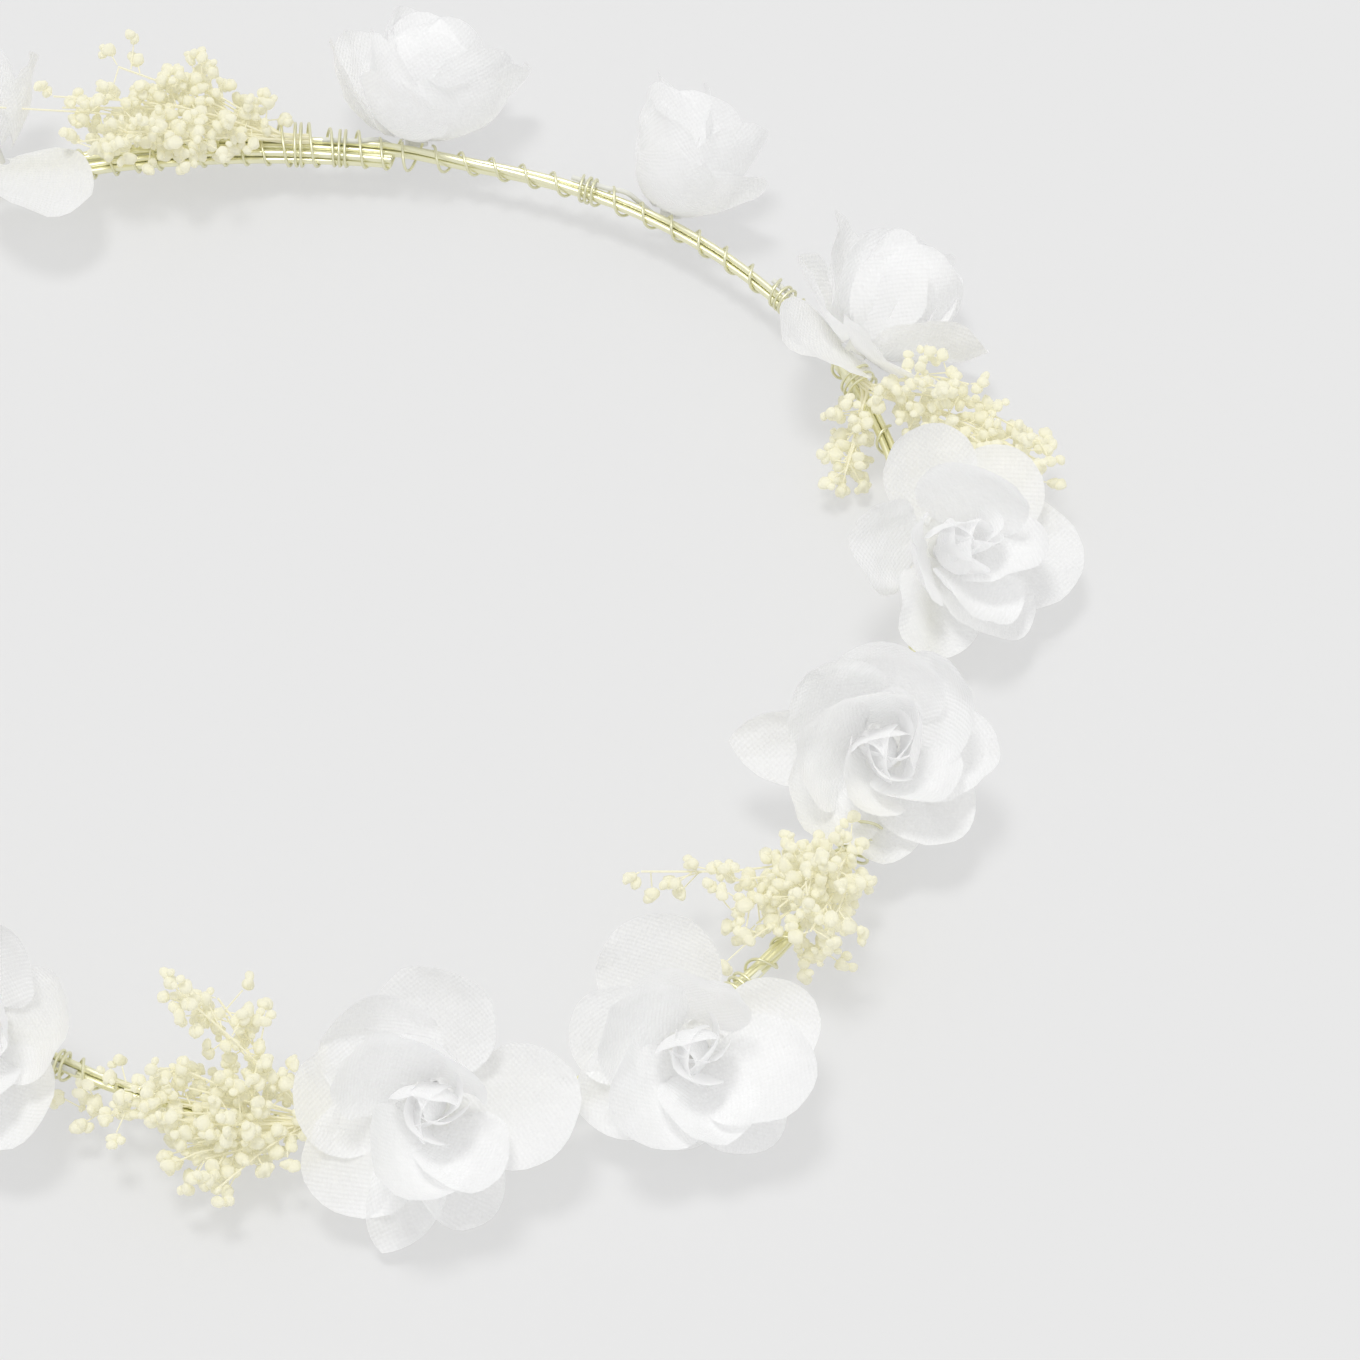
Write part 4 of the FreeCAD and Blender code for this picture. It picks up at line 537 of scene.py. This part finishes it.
def dried_plant(name, colour, darker, scale):
    """Dry, matt plant matter with mottled colour, and an even painted light on top that lifts its shade."""
    made, start = material(name)
    place = start.node("ShaderNodeTexCoord", output="Object")
    mottle = start.node("ShaderNodeTexNoise", {"Vector": place, "Scale": scale, "Detail": 4.0})
    grain = start.node("ShaderNodeTexNoise", {"Vector": place, "Scale": scale * 6, "Detail": 3.0})
    tint = start.node("ShaderNodeMix", {0: mottle, 6: (*darker, 1), 7: (*colour, 1)},
                      output=2, data_type="RGBA")
    bump = start.node("ShaderNodeBump", {"Height": grain, "Strength": 0.4, "Distance": 0.0003})
    # The emission is painted light: an even brightness that lifts the plant's shaded parts.
    dry = start.node("ShaderNodeBsdfPrincipled", {
        "Base Color": tint, "Roughness": 0.8, "Normal": bump, "Specular IOR Level": 0.2,
        "Emission Color": (*colour, 1), "Emission Strength": PLANT_PAINTED_GLOW})
    through = start.node("ShaderNodeBsdfTranslucent", {"Color": tint})
    finish_material(start, start.node("ShaderNodeMixShader", {0: PLANT_SHEERNESS, 1: dry, 2: through}))
    return made


def plain(name, colour, roughness):
    """Matt paint or paper in one colour, with a fine grain."""
    made, start = material(name)
    place = start.node("ShaderNodeTexCoord", output="Object")
    grain = start.node("ShaderNodeTexNoise", {"Vector": place, "Scale": 900.0, "Detail": 3.0})
    bump = start.node("ShaderNodeBump", {"Height": grain, "Strength": 0.2, "Distance": 0.0001})
    paint = start.node("ShaderNodeBsdfPrincipled", {
        "Base Color": (*colour, 1), "Roughness": roughness, "Normal": bump})
    finish_material(start, paint)
    return made


# ---------------------------------------------------------------- pieces
def add_object(name, mesh, node, finish):
    """Link a finished mesh, let it ride on the crown and stand for a CAD node."""
    piece = bpy.data.objects.new(name, mesh)
    bpy.context.scene.collection.objects.link(piece)
    mesh.materials.append(finish)
    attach(piece, "root")
    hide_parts(node)
    return piece


def keep_cut(verts, cut, flat):
    """Smooth the faces of a bent piece of cloth and keep its flat cut as a UV map; returns its area."""
    area = 0.0
    for face in {face for vertex in verts for face in vertex.link_faces}:
        face.smooth = True
        area += face.calc_area()
        for loop in face.loops:
            loop[cut].uv = flat[loop.vert]
    return area


def petal_mesh(flower, layer, settings):
    """All petals of one layer, with their flat cut kept as a UV map, and the cloth they were cut from."""
    name, _, _, lean, heading, petals = flower
    axes = flower_axes(lean, heading)
    centre = hub_centre(flower)
    bm = bmesh.new()
    cut = bm.loops.layers.uv.new("flat_cut")
    width = length = area = 0.0
    for number, petal in enumerate(petals):
        if petal[0] != layer:
            continue
        base, sideways, ahead, inwards = petal_place(petal, axes)
        grid = bmesh.ops.create_grid(bm, x_segments=settings.columns, y_segments=settings.rows, size=1.0)
        flat = {}
        seed = Vector((number * 3.7, lean, heading))
        crease = settings.crease / MM * CREASE_SHARES[LAYERS.index(layer)]
        for vertex in grid["verts"]:
            across, along = vertex.co.x, (vertex.co.y + 1) / 2
            x, y = flat_petal(petal[1], along, across)
            ragged = 1 + RAGGED_SHARE * along ** 8 * noise.noise(Vector((x, y, number)) * 2.5)
            spot = bent_petal(petal, x * ragged, y * ragged, across)
            cut_spot = Vector((x, y, 0))
            crumple = noise.noise(cut_spot * 0.13 + seed) + 0.35 * noise.noise(cut_spot * 0.33 + seed)
            fold = 0.5 - abs(noise.noise(Vector((x * 0.2, y * 0.09, 0)) + seed * 1.3)) * 2
            spot.z += (crumple + 0.5 * fold) * crease * along ** 1.3
            flat[vertex] = (x * MM, y * MM)
            vertex.co = (base + sideways * spot.x + ahead * spot.y + inwards * spot.z + centre) * MM
        area += keep_cut(grid["verts"], cut, flat)
        die_length, die_width = DIES[petal[1]]
        width += die_width * MM
        length = max(length, die_length * MM)
    bmesh.ops.recalc_face_normals(bm, faces=bm.faces)
    mesh = bpy.data.meshes.new("%s_%s_cloth" % (name, layer))
    bm.to_mesh(mesh)
    bm.free()
    return mesh, (width, length), area


def backing_mesh():
    """The shallow rounds of cloth behind the petals of the flowers that sit on top of the ring."""
    bm = bmesh.new()
    cut = bm.loops.layers.uv.new("flat_cut")
    for flower in FLOWERS:
        if flower[2] < BACKED_SIDE:
            continue
        axis, first, second = flower_axes(flower[3], flower[4])
        foot = hub_centre(flower) + axis * (HUB_LENGTH * LAYER_HEIGHTS[0] - BACKING_DROP)
        disc = bmesh.ops.create_grid(bm, x_segments=BACKING_CELLS, y_segments=BACKING_CELLS,
                                     size=BACKING_RADIUS)
        flat = {}
        for vertex in disc["verts"]:
            x, y = vertex.co.x, vertex.co.y
            reach = max(abs(x), abs(y)) / (math.hypot(x, y) or 1.0)
            x, y = x * reach, y * reach
            flat[vertex] = (x * MM, y * MM)
            dish = BACKING_DISH * (math.hypot(x, y) / BACKING_RADIUS) ** 2
            dish += BACKING_RUMPLE * noise.noise(Vector((x, y, flower[1])) * 0.4)
            vertex.co = (foot + first * x + second * y + axis * dish) * MM
        keep_cut(disc["verts"], cut, flat)
    mesh = bpy.data.meshes.new("flower_backings_cloth")
    bm.to_mesh(mesh)
    bm.free()
    return mesh


class CROWN_OT_flowers(bpy.types.Operator):
    """Shape every flower's three layers of cloth petals"""
    bl_idname = "crown.flowers"
    bl_label = "Cloth flowers"

    def execute(self, context):
        settings = context.scene.crown_petals
        cloth = petal_cloth(settings)
        for flower in FLOWERS:
            for layer in LAYERS:
                mesh, flat, area = petal_mesh(flower, layer, settings)
                node = "%s_%s_petals" % (flower[0], layer)
                piece = add_object(node + "_cloth", mesh, node, cloth)
                min(area, flat[0] * flat[1])
        backings = add_object("flower_backings_cloth", backing_mesh(), "flower_backings",
                              cloth)
        side = 2 * BACKING_RADIUS * MM
        count = sum(flower[2] >= BACKED_SIDE for flower in FLOWERS)
        side * count
        count * math.pi * side ** 2 / 4
        return {"FINISHED"}


def bud_centres(node):
    """Middle of each separate bud of a CAD node."""
    bm = bmesh.new()
    bm.from_mesh(frame["nodes"][node].data)
    bmesh.ops.remove_doubles(bm, verts=bm.verts, dist=WELD * MM)
    centres, seen = [], set()
    for vertex in bm.verts:
        if vertex in seen:
            continue
        island, queue = [], [vertex]
        seen.add(vertex)
        while queue:
            current = queue.pop()
            island.append(current.co.copy())
            for edge in current.link_edges:
                other = edge.other_vert(current)
                if other not in seen:
                    seen.add(other)
                    queue.append(other)
        low = Vector([min(spot[axis] for spot in island) for axis in range(3)])
        high = Vector([max(spot[axis] for spot in island) for axis in range(3)])
        centres.append((low + high) / 2)
    bm.free()
    return centres


def add_floret(bm, centre, radius, draw):
    """One dried floret: a small ball, dented on one side and crumpled all over."""
    puff = bmesh.ops.create_icosphere(bm, subdivisions=2, radius=radius)
    shift = Vector((draw.random(), draw.random(), draw.random())) * 10
    facing = Vector((draw.gauss(0, 1), draw.gauss(0, 1), draw.gauss(0, 1))).normalized()
    squash = Vector((draw.uniform(0.85, 1.15), draw.uniform(0.85, 1.15), draw.uniform(0.8, 1.1)))
    for vertex in puff["verts"]:
        ahead = max(vertex.co.normalized().dot(facing), 0.0)
        lump = 1 + FLORET_LUMPS * noise.noise(vertex.co * 900 + shift) - FLORET_DENT * ahead ** 3
        vertex.co = Vector([a * b for a, b in zip(vertex.co * lump, squash)]) + centre
        for face in vertex.link_faces:
            face.smooth = True


def bud_mesh(node, settings):
    """Clusters of florets, one cluster at each bud of the node."""
    draw = random.Random(FLORET_SEED)
    bm = bmesh.new()
    for centre in bud_centres(node):
        add_floret(bm, centre, settings.bud / 2 * draw.uniform(0.85, 1.1), draw)
        for _ in range(settings.cluster):
            away = Vector((draw.gauss(0, 1), draw.gauss(0, 1), draw.gauss(0, 1))).normalized()
            spot = centre + away * settings.bud * draw.uniform(0.5, 0.8)
            spot.z = max(spot.z, settings.bud / 2)
            add_floret(bm, spot, settings.bud / 2 * draw.uniform(0.55, 0.85), draw)
    mesh = bpy.data.meshes.new(node + "_florets")
    bm.to_mesh(mesh)
    bm.free()
    return mesh


class CROWN_OT_sprays(bpy.types.Operator):
    """Put a cluster of dried florets at every bud of the sprays"""
    bl_idname = "crown.sprays"
    bl_label = "Baby's breath"

    def execute(self, context):
        settings = context.scene.crown_sprays
        bud, stem = settings.bud_colour, settings.stalk_colour
        dried = dried_plant("dried_bud", bud, [c * 0.95 for c in bud], 500.0)
        stalk = dried_plant("dried_stalk", stem, [c * 0.93 for c in stem], 300.0)
        for name, cad in frame["nodes"].items():
            if name.startswith("babys_breath") and name.endswith("_buds"):
                add_object(name + "_florets", bud_mesh(name, settings), name, dried)
            elif name.startswith("babys_breath"):
                dress(cad, stalk)
        return {"FINISHED"}


def dress(cad, finish):
    """Give a CAD node's object its finish."""
    for slot in cad.material_slots:
        slot.material = finish


class CROWN_OT_wires(bpy.types.Operator):
    """Give the ring wires, the binding, the stems and the beads their finishes"""
    bl_idname = "crown.wires"
    bl_label = "Wires and beads"

    def execute(self, context):
        colour = context.scene.crown_wires.colour
        ring = gilt("ring_gilt", colour, 0.28)
        binding = gilt("binding_gilt", [c * 0.92 for c in colour], 0.32)
        paper = plain("stem_paper", STEM_PAPER, 0.7)
        bead = plain("bead_white", BEAD_WHITE, 0.6)
        for name, cad in frame["nodes"].items():
            if name.startswith("core_wire"):
                dress(cad, ring)
            elif name.startswith("binding_wire"):
                dress(cad, binding)
            elif name == "flower_stems":
                dress(cad, paper)
            elif name == "flower_hubs":
                dress(cad, bead)
        return {"FINISHED"}


def seen_ray(start):
    """1 where the floor or backdrop is seen straight, or in or through a piece; 0 where it lights one."""
    camera, glossy, clear = (start.node("ShaderNodeLightPath", output="Is %s Ray" % kind)
                             for kind in ("Camera", "Glossy", "Transmission"))
    return start.maths("MAXIMUM", camera, start.maths("MAXIMUM", glossy, clear))


class CROWN_OT_stage(bpy.types.Operator):
    """Lay the floor, light it softly and set up the camera"""
    bl_idname = "crown.stage"
    bl_label = "Floor, light and camera"

    def execute(self, context):
        scene, settings = context.scene, context.scene.crown_stage
        bm = bmesh.new()
        bmesh.ops.create_grid(bm, x_segments=1, y_segments=1, size=FLOOR_HALF)
        mesh = bpy.data.meshes.new("floor")
        bm.to_mesh(mesh)
        bm.free()
        floor = bpy.data.objects.new("floor", mesh)
        scene.collection.objects.link(floor)
        made, start = material("floor_paper")
        paper = start.node("ShaderNodeBsdfDiffuse", {"Color": (*settings.floor, 1)})
        shown = start.node("ShaderNodeEmission", {"Color": (*settings.floor, 1)})
        finish_material(start, start.node("ShaderNodeMixShader", {
            0: seen_ray(start) * settings.lift, 1: paper, 2: shown}))
        mesh.materials.append(made)
        world = bpy.data.worlds.new("studio")
        world.use_nodes = True
        world.node_tree.nodes.clear()
        sky = Sock(world.node_tree, None)
        light = sky.node("ShaderNodeBackground", {"Color": (1, 1, 1, 1), "Strength": SKY_STRENGTH})
        view = sky.node("ShaderNodeBackground", {"Color": (*settings.floor, 1), "Strength": 1.0})
        mix = sky.node("ShaderNodeMixShader", {0: seen_ray(sky), 1: light, 2: view})
        out = world.node_tree.nodes.new("ShaderNodeOutputWorld")
        world.node_tree.links.new(mix.socket, out.inputs["Surface"])
        scene.world = world
        lamp = bpy.data.lights.new("window", "SUN")
        lamp.energy, lamp.angle = SUN_STRENGTH, SUN_WIDTH
        sun = bpy.data.objects.new("window", lamp)
        scene.collection.objects.link(sun)
        sun.rotation_mode = "QUATERNION"
        sun.rotation_quaternion = SUN_FROM.to_track_quat("Z", "Y")
        scene.view_settings.view_transform = "Standard"
        camera = bpy.data.objects.new("camera", bpy.data.cameras.new("camera"))
        scene.collection.objects.link(camera)
        camera.data.lens, camera.data.sensor_width = settings.lens, SENSOR
        camera.data.clip_start, camera.data.clip_end = 0.05, 20.0
        back = Vector((0, -math.cos(settings.elevation), math.sin(settings.elevation)))
        camera.location = RING_CENTRE + AIM * MM + back * settings.distance
        camera.rotation_mode = "QUATERNION"
        camera.rotation_quaternion = back.to_track_quat("Z", "Y")
        scene.camera = camera
        return {"FINISHED"}


class CROWN_PT_panel(bpy.types.Panel):
    """Lists the crown's pieces and their settings"""
    bl_label = "Flower crown"
    bl_idname = "CROWN_PT_panel"
    bl_space_type = "VIEW_3D"
    bl_region_type = "UI"
    bl_category = "Crown"

    def draw(self, context):
        for title, settings, operator in (
                ("Flowers", context.scene.crown_petals, "crown.flowers"),
                ("Sprays", context.scene.crown_sprays, "crown.sprays"),
                ("Wires", context.scene.crown_wires, "crown.wires"),
                ("Stage", context.scene.crown_stage, "crown.stage")):
            box = self.layout.box()
            box.label(text=title)
            for name in settings.__annotations__:
                box.prop(settings, name)
            box.operator(operator)


GROUPS = {"crown_petals": CrownPetalSettings, "crown_sprays": CrownSpraySettings,
          "crown_wires": CrownWireSettings, "crown_stage": CrownStageSettings}
CLASSES = (*GROUPS.values(), CROWN_OT_flowers, CROWN_OT_sprays, CROWN_OT_wires, CROWN_OT_stage,
           CROWN_PT_panel)


def register():
    for made in CLASSES:
        bpy.utils.register_class(made)
    for name, group in GROUPS.items():
        setattr(bpy.types.Scene, name, PointerProperty(type=group))


def unregister():
    for name in GROUPS:
        delattr(bpy.types.Scene, name)
    for made in reversed(CLASSES):
        bpy.utils.unregister_class(made)


def main():
    register()
    bpy.ops.crown.wires()
    bpy.ops.crown.flowers()
    bpy.ops.crown.sprays()
    bpy.ops.crown.stage()


if __name__ == "__main__":
    main()
